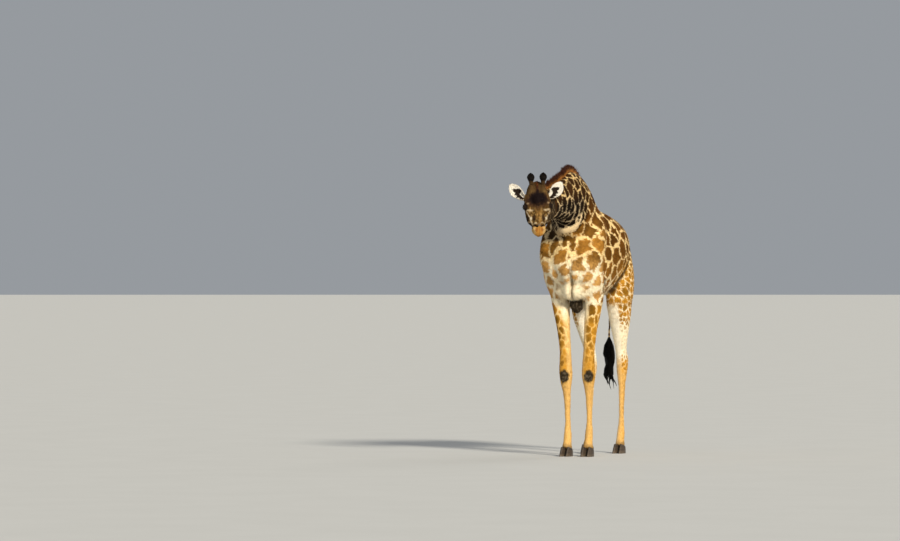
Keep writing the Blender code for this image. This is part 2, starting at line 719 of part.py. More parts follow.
def build():
    """Models the giraffe: the fused body, its head, and the cuts that part it into its pieces."""
    for obj in list(bpy.data.objects):
        bpy.data.objects.remove(obj)
    for name in ("giraffe", "forms", "cutters"):
        bpy.context.scene.collection.children.link(bpy.data.collections.new(name))
    bpy.data.collections["forms"].hide_render = True
    bpy.data.collections["cutters"].hide_render = True

    frame = head_frame()
    neck = loft("neck_form", neck_stations(), side=(-1, 0, 0), around=28, egg=0.10)
    nape = loft("nape_form", neck_stations()[4:], side=(-1, 0, 0), around=28, egg=0.10)
    skull = turned(skull_forms() + ossicone_forms(), frame)
    body_forms = trunk_forms() + [neck] + skull
    for side in SIDES.values():
        body_forms += shoulder_forms(side) + foreleg_forms(side) + hind_forms(side)
    body = fused("trunk", body_forms, BODY_VOXEL, BODY_SMOOTHING)
    head = fused("head", skull + [nape], HEAD_VOXEL, HEAD_SMOOTHING)
    mane = mane_crest(body)

    # The throat cut: a plane square to the neck, just behind the jaw
    throat = Matrix.Translation((0.0, -1.04, 2.71)) @ Matrix.Rotation(math.radians(14), 4, "X")
    reach = 3.0
    reduced(head, HEAD_TRIANGLES)
    reduced(body, BODY_TRIANGLES)
    ahead = block("head_keep", throat, (-reach, -reach, -reach), (reach, -GAP / 2, reach))
    behind = block("head_cut", throat, (-reach, -reach, -reach), (reach, GAP / 2, reach))
    boolean(head, ahead, "INTERSECT")
    boolean(body, behind, "DIFFERENCE")

    # Sockets, horns and ears
    pieces = {"head": head}
    for word, side in SIDES.items():
        centre = frame @ eye_centre(side)
        boolean(head, eyeball("socket_" + word, centre, EYE_RADIUS + 2 * GAP, "cutters"), "DIFFERENCE")
        pieces["eye_" + word] = eyeball("eye_" + word, centre, EYE_RADIUS, "giraffe")
    rise = (OSSICONE_TIP - OSSICONE_BASE).normalized()
    forward = rise.cross(Vector((1, 0, 0))).normalized()
    across = forward.cross(rise)
    for word, side in SIDES.items():
        base = Vector((OSSICONE_BASE.x * side, OSSICONE_BASE.y, OSSICONE_BASE.z))
        stand = Matrix.Translation(base) @ Matrix((across, forward, rise)).transposed().to_4x4()
        pieces["ossicone_" + word] = part_off(
            head, "ossicone_" + word, frame @ stand,
            (-0.052, -0.06, OSSICONE_HAIR), (0.052, 0.06, 0.5),
        )

    # Neck and legs
    base_cut = Matrix.Translation((0, -0.30, 2.62)) @ Matrix.Rotation(math.radians(-38), 4, "X")
    pieces["neck"] = part_off(body, "neck", base_cut, (-reach, -reach, -reach), (reach, 0.0, reach))
    for word, side in SIDES.items():
        low_x, high_x = sorted((0.0, 0.6 * side))
        elbow = Matrix.Translation((ELBOW_WALL * side, 0.0, ELBOW_CUT))
        leaning = elbow @ Matrix.Rotation(ELBOW_LEAN * side, 4, "Y")
        pieces["foreleg_" + word] = part_off(
            body, "foreleg_" + word, leaning, (low_x, -0.4, -2.0), (high_x, 0.35, 0.0),
        )
        pieces["hind_leg_" + word] = part_off(
            body, "hind_leg_" + word, Matrix(), (low_x, 0.6, -0.1), (high_x, 1.6, 1.64),
        )
    pieces["trunk"] = body

    for obj in pieces.values():
        keep_largest(obj)
    for word, side in SIDES.items():
        pieces["ear_" + word] = carved(ear("ear_" + word, side, frame), head, pieces["neck"])

    # Feet
    feet = {
        "fore": ("foreleg_", Vector((0.120, -0.045, 0))),
        "hind": ("hind_leg_", Vector((0.158, 1.080, 0))),
    }
    for end, (leg, place) in feet.items():
        for word, side in SIDES.items():
            if end == "fore":
                centre = Vector((fore_place(side, place.x, 0.04), place.y, 0.0))
            else:
                centre = Vector((place.x * side, hind_place(side, place.y, 0.0), 0.0))
            level = Matrix.Translation((centre.x, centre.y, CORONET_HEIGHT))
            tilt = level @ Matrix.Rotation(CORONET_SLOPE, 4, "X")
            coronet = block("coronet", tilt, (-1, -1, -1), (1, 1, GAP / 2))
            boolean(pieces[leg + word], coronet, "DIFFERENCE")
            keep_largest(pieces[leg + word])
            for inner in (False, True):
                name = f"hoof_{end}_{word}_{'inner' if inner else 'outer'}"
                claw = hoof(name, centre, side, inner)
                boolean(claw, block("hoof_top", tilt, (-1, -1, -GAP / 2), (1, 1, 1)), "DIFFERENCE")
                pieces[name] = keep_largest(claw)

    tail, brush = tail_pieces()
    pieces["tail"] = carved(tail, pieces["trunk"])
    pieces["tail_brush"] = brush
    beside_mane = ("neck", "trunk", "head", "ear_left", "ear_right")
    pieces["mane"] = carved(mane, *(pieces[name] for name in beside_mane))

    finishes = {
        "eye": material("eye", EYE_BROWN, 0.1),
        "hoof": material("hoof", HORN, 0.5),
        "mane": material("mane", MANE_BROWN, 0.8),
        "tail_brush": material("black_hair", BLACK_HAIR, 0.7),
        "ossicone": material("black_hair", BLACK_HAIR, 0.7),
        "ear": material("ear", CREAM, 0.8),
    }
    for name, obj in pieces.items():
        start = next((key for key in finishes if name.startswith(key)), None)
        finish(obj, finishes[start] if start else material("coat", COAT, 0.8))
    centre_on_ground(list(pieces.values()))
    for name, obj in pieces.items():
        print(name, len(obj.data.polygons))


build()
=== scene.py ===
"""Dresses the life-size giraffe: one skin with its markings, short coat, mane, tail, face and hooves."""

import logging
import math
from dataclasses import dataclass, field
from enum import Enum

import bmesh
import bpy
import numpy as np
from mathutils import Matrix, Vector, noise
from mathutils.bvhtree import BVHTree
from mathutils.kdtree import KDTree


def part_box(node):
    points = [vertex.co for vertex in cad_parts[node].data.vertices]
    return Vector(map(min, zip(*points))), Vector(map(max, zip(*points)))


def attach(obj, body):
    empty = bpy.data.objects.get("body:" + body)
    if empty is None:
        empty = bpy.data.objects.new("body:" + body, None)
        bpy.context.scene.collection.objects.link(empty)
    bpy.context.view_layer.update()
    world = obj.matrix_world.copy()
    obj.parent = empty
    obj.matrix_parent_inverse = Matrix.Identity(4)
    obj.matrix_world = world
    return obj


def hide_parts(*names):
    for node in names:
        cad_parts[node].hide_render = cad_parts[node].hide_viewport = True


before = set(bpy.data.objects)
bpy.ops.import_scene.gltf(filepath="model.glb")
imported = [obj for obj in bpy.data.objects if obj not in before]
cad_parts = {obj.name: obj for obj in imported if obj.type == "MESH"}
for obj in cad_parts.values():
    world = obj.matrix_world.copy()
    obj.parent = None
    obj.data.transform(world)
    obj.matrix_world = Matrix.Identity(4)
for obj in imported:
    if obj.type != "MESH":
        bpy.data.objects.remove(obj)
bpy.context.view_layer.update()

log = logging.getLogger("giraffe")

Array = np.ndarray
Chance = np.random.Generator
Material = bpy.types.Material
Mesh = bpy.types.Mesh
Socket = bpy.types.NodeSocket
Colour = tuple[float, float, float]
Point = tuple[float, float, float]
Pair = tuple[float, float]

BODY = "root"
SIDES = {"left": 1.0, "right": -1.0}
SKIN_TRIANGLES = 176_000
UV_NAME = "OFBake"
NOISE_SEED = 7
NO_PATCH = -0.02  # how far outside any patch a plain spot counts, in metres

# The head hangs from the poll, nose down, turned to its left and rolled a little
HEAD_TURN = (
    Matrix.Rotation(math.radians(24), 3, "Z")
    @ Matrix.Rotation(math.radians(-2.6), 3, "Y")
    @ Matrix.Rotation(math.radians(72), 3, "X")
)
EYES_FROM_POLL = Vector((0.0, -0.238, -0.058))
POLL_IN_PLAN = Vector((-0.046, -1.255, 2.936))
EYE_OUTWARD = Vector((0.93, -0.16, 0.32))
EAR_ROOT = Vector((0.112, -0.145, -0.105))
EAR_AXIS = Vector((0.73, 0.66, 0.08))
EAR_OPENING = Vector((0.15, -0.05, 1.0))
EAR_LENGTH = 0.245
OSSICONE_BASE = Vector((0.06, -0.1, -0.02))
OSSICONE_TIP = Vector((0.068, 0.088, 0.11))
HORN_REACH = 0.052

# The neck's centre line from the chest up over the arch to the head, in the plan's own frame
NECK_LINE = (
    (0.0, 0.24, 2.42), (0.005, 0.0, 2.55), (0.02, -0.23, 2.695), (0.04, -0.43, 2.775),
    (0.035, -0.66, 2.775), (0.01, -0.89, 2.745), (-0.02, -1.08, 2.7), (-0.04, -1.21, 2.67),
)


class Region(Enum):
    """The parts of the body that differ in how their hair lies and is marked."""

    TRUNK = 0
    NECK = 1
    HEAD = 2
    FORELEG = 3
    HIND_LEG = 4
    TAIL = 5
    EAR = 6


REGION_OF = {
    "trunk": Region.TRUNK, "neck": Region.NECK, "head": Region.HEAD,
    "foreleg_left": Region.FORELEG, "foreleg_right": Region.FORELEG,
    "hind_leg_left": Region.HIND_LEG, "hind_leg_right": Region.HIND_LEG,
    "tail": Region.TAIL, "ear_left": Region.EAR, "ear_right": Region.EAR,
}
FLESH = tuple(REGION_OF)


# ---------------------------------------------------------------- small helpers


def smoothstep(low: float, high: float, value: Array) -> Array:
    """Rises smoothly from 0 at `low` to 1 at `high`, or falls where `low` is the greater."""
    share = np.clip((value - low) / (high - low), 0.0, 1.0)
    return share * share * (3 - 2 * share)


def unit(vectors: Array) -> Array:
    """The rows of `vectors`, each at length one."""
    return vectors / np.maximum(np.linalg.norm(vectors, axis=-1, keepdims=True), 1e-9)


def stretched_length(gaps: Array, along: Array, stretch: Array) -> Array:
    """The lengths of `gaps` where their part `along` a way counts for only 1 / `stretch` of itself."""
    squeeze = 1 - 1 / stretch ** 2
    return np.sqrt(np.maximum(np.sum(gaps * gaps, axis=-1) - squeeze * along * along, 0))


def hump(points: Array, centre: Point, radii: Point) -> Array:
    """A soft hill: 1 at the centre, about a third at the radii, 0 far away."""
    reach = (points - np.asarray(centre)) / np.asarray(radii)
    return np.exp(-np.sum(reach * reach, axis=1))


def ripple(points: Array, frequency: float, seed: float = 0.0) -> Array:
    """Smooth noise from -1 to 1 at each point, `frequency` cells to the metre."""
    shift = Vector((seed, seed * 1.7, -seed))
    return np.array([noise.noise(Vector(p) * frequency + shift) for p in points])


def sway(points: Array, frequency: float, seed: float = 0.0) -> Array:
    """A smooth noise vector at each point, `frequency` cells to the metre."""
    shift = Vector((seed, -seed * 1.3, seed * 0.7))
    return np.array([noise.noise_vector(Vector(p) * frequency + shift) for p in points])


def mixed(colours: Array, share: Array, target: Colour) -> Array:
    """`colours` moved towards `target` by `share`, row by row."""
    return colours + (np.asarray(target) - colours) * np.clip(share, 0, 1)[:, None]


def turned(across: Array, up: Array) -> Array:
    """The turn of each point round an axis, as a share of a full turn from 0 to 1."""
    return np.arctan2(across, up) / (2 * math.pi) + 0.5


def plan_offset() -> Vector:
    """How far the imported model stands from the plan's own origin, read off its eyes."""
    lows_and_highs = [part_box(f"eye_{side}") for side in SIDES]
    middle = sum((low + high for low, high in lows_and_highs), Vector()) / 4
    return middle - (POLL_IN_PLAN + HEAD_TURN @ EYES_FROM_POLL)


OFFSET = plan_offset()
POLL = POLL_IN_PLAN + OFFSET
TURN = np.array(HEAD_TURN)


def in_plan(points: Array) -> Array:
    """Points in the plan's own frame: x to the animal's left, -y ahead, z up from the ground."""
    return points - np.array(OFFSET)


def in_head(points: Array) -> Array:
    """Points in the head's own axes: x to its left, -y along the nose, z up from the forehead."""
    return (points - np.array(POLL)) @ TURN


def mirrored(points: Array) -> Array:
    """Points with those of the right side laid over on the left."""
    return np.abs(points) * (1, 0, 0) + points * (0, 1, 1)


def beside_line(points: Array, start: tuple[float, ...], stop: tuple[float, ...]) -> tuple[Array, Array]:
    """How far along a short straight line each point lies, as a share, and how far off it."""
    first = np.asarray(start)
    span = np.asarray(stop) - first
    share = np.clip((points - first) @ span / (span @ span), 0, 1)
    return share, np.linalg.norm(points - first - share[:, None] * span, axis=1)


def from_head(place: Vector) -> Vector:
    """A place in the head's own axes, in the model's frame."""
    return POLL + HEAD_TURN @ place


def sided(place: Vector, side: float) -> Vector:
    """The same place on the left (1) or right (-1) of the head."""
    return Vector((place.x * side, place.y, place.z))


def neck_middle(y: Array) -> tuple[Array, Array]:
    """The x and the z of the neck's centre line at each distance along the body."""
    line = np.array(NECK_LINE)[::-1].T
    return np.interp(y, line[1], line[0]), np.interp(y, line[1], line[2])


def horn_share(head: Array) -> Array:
    """How far up a horn's shaft each point lies: 0 at its root and off it, 1 at its tip."""
    base = np.array(OSSICONE_BASE)
    rise = np.array(OSSICONE_TIP) - base
    away = mirrored(head) - base
    share = (away @ rise) / (rise @ rise)
    off = np.linalg.norm(away - share[:, None] * rise, axis=1)
    return np.clip(share, 0, 1) * (off < HORN_REACH)


def horn_axis(side: float) -> tuple[Array, Array]:
    """The tip of a horn and the way that it points, in the model's frame."""
    rise = HEAD_TURN @ (sided(OSSICONE_TIP, side) - sided(OSSICONE_BASE, side))
    return np.array(from_head(sided(OSSICONE_TIP, side))), np.array(rise.normalized())


def new_object(name: str, mesh: Mesh) -> bpy.types.Object:
    """A new object in the scene that holds the mesh."""
    made = bpy.data.objects.new(name, mesh)
    bpy.context.scene.collection.objects.link(made)
    return made


def evaluated(obj: bpy.types.Object) -> Mesh:
    """The object's mesh with its modifiers, as a new mesh; the object is removed."""
    mesh = bpy.data.meshes.new_from_object(obj.evaluated_get(bpy.context.evaluated_depsgraph_get()))
    bpy.data.objects.remove(obj)
    return mesh


def whole_copy(node: str) -> bmesh.types.BMesh:
    """A bmesh of a CAD node with its loose triangles merged."""
    bm = bmesh.new()
    bm.from_mesh(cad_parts[node].data)
    bmesh.ops.remove_doubles(bm, verts=bm.verts, dist=1e-5)
    bm.normal_update()
    return bm


def joined_nodes(nodes: tuple[str, ...], growth: float) -> Mesh:
    """One mesh of several CAD nodes, each grown a little so that neighbours overlap."""
    whole = bmesh.new()
    for node in nodes:
        bm = whole_copy(node)
        for vert in bm.verts:
            vert.co += vert.normal * growth
        part = bpy.data.meshes.new(node + "_copy")
        bm.to_mesh(part)
        bm.free()
        whole.from_mesh(part)
        bpy.data.meshes.remove(part)
    mesh = bpy.data.meshes.new("joined")
    whole.to_mesh(mesh)
    whole.free()
    return mesh


def remeshed(mesh: Mesh, voxel: float) -> Mesh:
    """The mesh fused into one even net of about `voxel` metres."""
    obj = new_object("remeshed", mesh)
    net = obj.modifiers.new("fuse", "REMESH")
    net.mode = "VOXEL"
    net.voxel_size = voxel
    return evaluated(obj)


def store_along(mesh: Mesh, values: Array) -> None:
    """Stores each point's share of the way from the root to the tip of the hair."""
    layer = mesh.attributes.new("along", "FLOAT", "POINT")
    layer.data.foreach_set("value", values.astype(np.float32))


def finish_piece(name: str, mesh: Mesh, material: Material,
                 replaced: tuple[str, ...] = ()) -> None:
    """Makes a piece of a mesh, with its material, its body and the nodes that it stands for.

    Args:
        name: The piece's name.
        mesh: Its shape, in the model's frame.
        material: Its finish.
        replaced: CAD nodes that it replaces.
    """
    piece = new_object(name, mesh)
    mesh.materials.append(material)
    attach(piece, BODY)
    if replaced:
        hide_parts(*replaced)
    mesh.calc_loop_triangles()
    log.info("%s: %d triangles", name, len(mesh.loop_triangles))


# ---------------------------------------------------------------- finishes


class Dye:
    """A procedural material under construction: a Principled shader and the nodes that feed it."""

    def __init__(self, name: str, roughness: float, specular: float = 0.35, coat: float = 0.0) -> None:
        """Starts the material with the values that are the same all over.

        Args:
            name: The material's name.
            roughness: The shader's roughness.
            specular: The strength of its reflections.
            coat: A clear wet layer.
        """
        self.material = bpy.data.materials.new(name)
        self.material.use_nodes = True
        self.tree = self.material.node_tree
        self.shader = self.tree.nodes["Principled BSDF"]
        self.shader.inputs["Roughness"].default_value = roughness
        self.shader.inputs["Specular IOR Level"].default_value = specular
        self.shader.inputs["Coat Weight"].default_value = coat
        self.place = self.tree.nodes.new("ShaderNodeTexCoord").outputs["Object"]

    def feed(self, socket: Socket, value: object) -> None:
        """Links an output to a socket, or sets the socket to a plain value."""
        if isinstance(value, Socket):
            self.tree.links.new(value, socket)
        else:
            socket.default_value = value

    def attribute(self, name: str, output: str = "Fac") -> Socket:
        """An attribute that the mesh carries."""
        node = self.tree.nodes.new("ShaderNodeAttribute")
        node.attribute_name = name
        return node.outputs[output]

    def noise(self, scale: float, detail: float = 3.0, stretch: Point = (1, 1, 1),
              rough: float = 0.55) -> Socket:
        """Noise from 0 to 1 on the piece's own coordinates."""
        place = self.place
        if stretch != (1, 1, 1):
            mapping = self.tree.nodes.new("ShaderNodeMapping")
            mapping.inputs["Scale"].default_value = stretch
            self.feed(mapping.inputs["Vector"], place)
            place = mapping.outputs["Vector"]
        node = self.tree.nodes.new("ShaderNodeTexNoise")
        node.inputs["Scale"].default_value = scale
        node.inputs["Detail"].default_value = detail
        node.inputs["Roughness"].default_value = rough
        self.feed(node.inputs["Vector"], place)
        return node.outputs["Fac"]

    def math(self, operation: str, *values: object) -> Socket:
        """The result of a Math node."""
        node = self.tree.nodes.new("ShaderNodeMath")
        node.operation = operation
        for socket, value in zip(node.inputs, values):
            self.feed(socket, value)
        return node.outputs[0]

    def ramp(self, value: object, low: object, high: object, start: float = 0.0,
             end: float = 1.0) -> Socket:
        """A smooth rise from `start` at `low` to `end` at `high`."""
        node = self.tree.nodes.new("ShaderNodeMapRange")
        node.interpolation_type = "SMOOTHSTEP"
        for name, given in (("Value", value), ("From Min", low), ("From Max", high),
                            ("To Min", start), ("To Max", end)):
            self.feed(node.inputs[name], given)
        return node.outputs["Result"]

    def mix(self, share: object, first: object, second: object) -> Socket:
        """Two colours mixed by `share`."""
        node = self.tree.nodes.new("ShaderNodeMix")
        node.data_type = "RGBA"
        self.feed(node.inputs[0], share)
        for socket, value in ((node.inputs[6], first), (node.inputs[7], second)):
            self.feed(socket, (*value, 1.0) if isinstance(value, tuple) else value)
        return node.outputs[2]

    def shade(self, colour: object, amount: object) -> Socket:
        """A colour made lighter or darker by a factor."""
        node = self.tree.nodes.new("ShaderNodeVectorMath")
        node.operation = "SCALE"
        self.feed(node.inputs[0], colour)
        self.feed(node.inputs["Scale"], amount)
        return node.outputs[0]

    def bump(self, height: object, distance: float, strength: float = 0.6) -> None:
        """Fine relief on the shader's normal."""
        node = self.tree.nodes.new("ShaderNodeBump")
        node.inputs["Distance"].default_value = distance
        node.inputs["Strength"].default_value = strength
        self.feed(node.inputs["Height"], height)
        self.feed(self.shader.inputs["Normal"], node.outputs["Normal"])

    def done(self, colour: object) -> Material:
        """Gives the shader its colour and returns the material."""
        self.feed(self.shader.inputs["Base Color"], colour)
        return self.material


@dataclass(frozen=True)
class CoatFinish:
    """Short hair whose ground and patch colours are carried by the mesh, with ragged borders."""

    name: str
    roughness: float = 0.68
    ragged: float = 2.2
    relief: float = 0.0012
    tip_glow: float = 0.0

    def material(self) -> Material:
        """The coat's material, for the skin or for the tufts over it."""
        dye = Dye(self.name, self.roughness, specular=0.03)
        soft = dye.attribute("soft")
        wander = dye.math("SUBTRACT", dye.noise(48.0, 4.0, rough=0.62), 0.5)
        reach = dye.math("MULTIPLY", dye.math("MULTIPLY", wander, self.ragged), soft)
        edge = dye.math("ADD", dye.attribute("patch"), reach)
        share = dye.ramp(edge, dye.math("MULTIPLY", soft, -0.5), dye.math("MULTIPLY", soft, 0.5))
        colour = dye.mix(share, dye.attribute("ground", "Color"), dye.attribute("brown", "Color"))
        mottle = dye.ramp(dye.noise(150.0, 4.0), 0.25, 0.75, 0.86, 1.12)
        strands = dye.noise(620.0, 2.0, (1.0, 1.0, 0.22))
        colour = dye.shade(colour, dye.math("MULTIPLY", mottle, dye.ramp(strands, 0.3, 0.7, 0.88, 1.1)))
        if self.tip_glow:
            along = dye.attribute("along")
            colour = dye.shade(colour, dye.ramp(along, 0.0, 1.0, 1.0 - self.tip_glow, 1.0 + self.tip_glow))
        dye.bump(strands, self.relief, 0.5)
        return dye.done(colour)


@dataclass(frozen=True)
class LockFinish:
    """Long hair, darker or lighter from its root to its tip."""

    name: str
    root: Colour
    tip: Colour
    roughness: float = 0.5
    turn: tuple[float, float] = (0.15, 0.95)

    def material(self) -> Material:
        """Hair that changes along each lock and from lock to lock."""
        dye = Dye(self.name, self.roughness, specular=0.15)
        colour = dye.mix(dye.ramp(dye.attribute("along"), *self.turn), self.root, self.tip)
        bundle = dye.ramp(dye.noise(70.0, 3.0), 0.3, 0.7, 0.6, 1.45)
        fine = dye.noise(900.0, 2.0, (1.0, 1.0, 0.15))
        colour = dye.shade(colour, dye.math("MULTIPLY", bundle, dye.ramp(fine, 0.3, 0.7, 0.8, 1.2)))
        dye.bump(fine, 0.0008, 0.5)
        return dye.done(colour)


@dataclass(frozen=True)
class HornFinish:
    """Hoof horn: dark, with rings of growth, fine upright grain and a scuffed lower edge."""

    name: str = "hoof_horn"
    dark: Colour = (0.034, 0.024, 0.017)
    worn: Colour = (0.16, 0.115, 0.075)

    def material(self) -> Material:
        """The hoof's material."""
        dye = Dye(self.name, 0.46, specular=0.4)
        rings = dye.noise(42.0, 3.0, (0.12, 0.12, 2.6))
        grain = dye.noise(420.0, 3.0, (1.0, 1.0, 0.08))
        height = dye.tree.nodes.new("ShaderNodeSeparateXYZ")
        dye.feed(height.inputs[0], dye.place)
        scuffed = dye.math("MULTIPLY", dye.ramp(height.outputs["Z"], 0.045, 0.0), dye.ramp(grain, 0.35, 0.7))
        colour = dye.mix(dye.ramp(rings, 0.35, 0.7), self.dark, (0.075, 0.052, 0.034))
        colour = dye.mix(scuffed, colour, self.worn)
        dye.bump(dye.math("ADD", rings, dye.math("MULTIPLY", grain, 0.3)), 0.002, 0.6)
        return dye.done(colour)


@dataclass(frozen=True)
class EyeFinish:
    """A dark brown iris with a long level pupil under a wet clear surface."""

    name: str
    centre: Point
    outward: Point
    along: Point
    radius: float

    def material(self) -> Material:
        """The eyeball's material, centred on the eye's own axis."""
        dye = Dye(self.name, 0.1, specular=0.25, coat=0.25)
        away = dye.tree.nodes.new("ShaderNodeVectorMath")
        away.operation = "SUBTRACT"
        dye.feed(away.inputs[0], dye.place)
        away.inputs[1].default_value = self.centre
        facing = self._share(dye, away.outputs[0], self.outward)
        level = self._share(dye, away.outputs[0], self.along)
        side = dye.math("SUBTRACT", dye.math("SUBTRACT", 1.0, dye.math("MULTIPLY", facing, facing)),
                        dye.math("MULTIPLY", level, level))
        pupil = dye.math("ADD", dye.math("MULTIPLY", dye.math("MULTIPLY", level, level), 5.0),
                         dye.math("MULTIPLY", side, 24.0))
        fibres = dye.ramp(dye.noise(900.0, 3.0), 0.3, 0.7)
        iris = dye.mix(fibres, (0.01, 0.005, 0.003), (0.034, 0.014, 0.006))
        white = dye.mix(dye.ramp(facing, 0.66, 0.58), iris, (0.03, 0.019, 0.014))
        return dye.done(dye.mix(dye.ramp(pupil, 0.9, 1.05), (0.003, 0.003, 0.004), white))

    def _share(self, dye: Dye, offset: object, axis: Point) -> Socket:
        """How far a point lies along an axis of the eye, as a share of its radius."""
        dot = dye.tree.nodes.new("ShaderNodeVectorMath")
        dot.operation = "DOT_PRODUCT"
        dye.feed(dot.inputs[0], offset)
        dot.inputs[1].default_value = axis
        return dye.math("DIVIDE", dot.outputs["Value"], self.radius)


@dataclass(frozen=True)
class PlainFinish:
    """A finish of two close colours, mottled, with a fine grain."""

    name: str
    light: Colour
    dark: Colour
    roughness: float = 0.6
    scale: float = 90.0
    relief: float = 0.0006
    specular: float = 0.35

    def material(self) -> Material:
        """The mottled material."""
        dye = Dye(self.name, self.roughness, specular=self.specular)
        grain = dye.noise(self.scale, 4.0)
        dye.bump(dye.noise(self.scale * 6, 3.0), self.relief, 0.5)
        return dye.done(dye.mix(dye.ramp(grain, 0.3, 0.7), self.dark, self.light))


# ---------------------------------------------------------------- the skin


class Surface:
    """A triangle net as arrays, with the edges that its smoothing needs."""

    def __init__(self, mesh: Mesh) -> None:
        """Reads the mesh's points, triangles and edges.

        Args:
            mesh: A closed mesh.
        """
        mesh.calc_loop_triangles()
        self.points = np.empty(len(mesh.vertices) * 3, np.float64)
        mesh.vertices.foreach_get("co", self.points)
        self.points = self.points.reshape(-1, 3)
        self.triangles = np.empty(len(mesh.loop_triangles) * 3, np.int32)
        mesh.loop_triangles.foreach_get("vertices", self.triangles)
        self.triangles = self.triangles.reshape(-1, 3)
        ends = np.empty(len(mesh.edges) * 2, np.int32)
        mesh.edges.foreach_get("vertices", ends)
        ends = ends.reshape(-1, 2)
        self.starts = np.concatenate((ends[:, 0], ends[:, 1]))
        self.stops = np.concatenate((ends[:, 1], ends[:, 0]))
        self.degree = np.maximum(np.bincount(self.starts, minlength=len(self.points)), 1)

    def relaxed(self, values: Array, times: int, weight: object = 0.5) -> Array:
        """`values` (one row a point) drawn towards their neighbours' mean, `times` over."""
        values = values.reshape(len(self.points), -1).astype(np.float64)
        weight = np.broadcast_to(np.asarray(weight, float), (len(self.points),))[:, None]
        for _ in range(times):
            mean = np.stack([
                np.bincount(self.starts, column[self.stops], len(self.points))
                for column in values.T
            ], axis=1) / self.degree[:, None]
            values += weight * (mean - values)
        return values

    def faces(self) -> Array:
        """Each triangle's outward normal, as long as twice its area."""
        corner = self.points[self.triangles]
        return np.cross(corner[:, 1] - corner[:, 0], corner[:, 2] - corner[:, 0])

    def areas(self) -> Array:
        """Twice the area of each triangle."""
        return np.linalg.norm(self.faces(), axis=1)

    def normals(self) -> Array:
        """The points' outward normals, weighted by area."""
        face = self.faces()
        total = np.zeros_like(self.points)
        for k in range(3):
            for axis in range(3):
                total[:, axis] += np.bincount(self.triangles[:, k], face[:, axis], len(self.points))
        return unit(total)

    def mesh(self, name: str) -> Mesh:
        """A smooth-shaded mesh of the net."""
        made = bpy.data.meshes.new(name)
        made.from_pydata(self.points.tolist(), [], self.triangles.tolist())
        made.shade_smooth()
        return made


@dataclass(frozen=True)
class Swell:
    """A soft hill or hollow on the skin, in the head's or the plan's own axes."""

    centre: Point
    radii: Point
    height: float


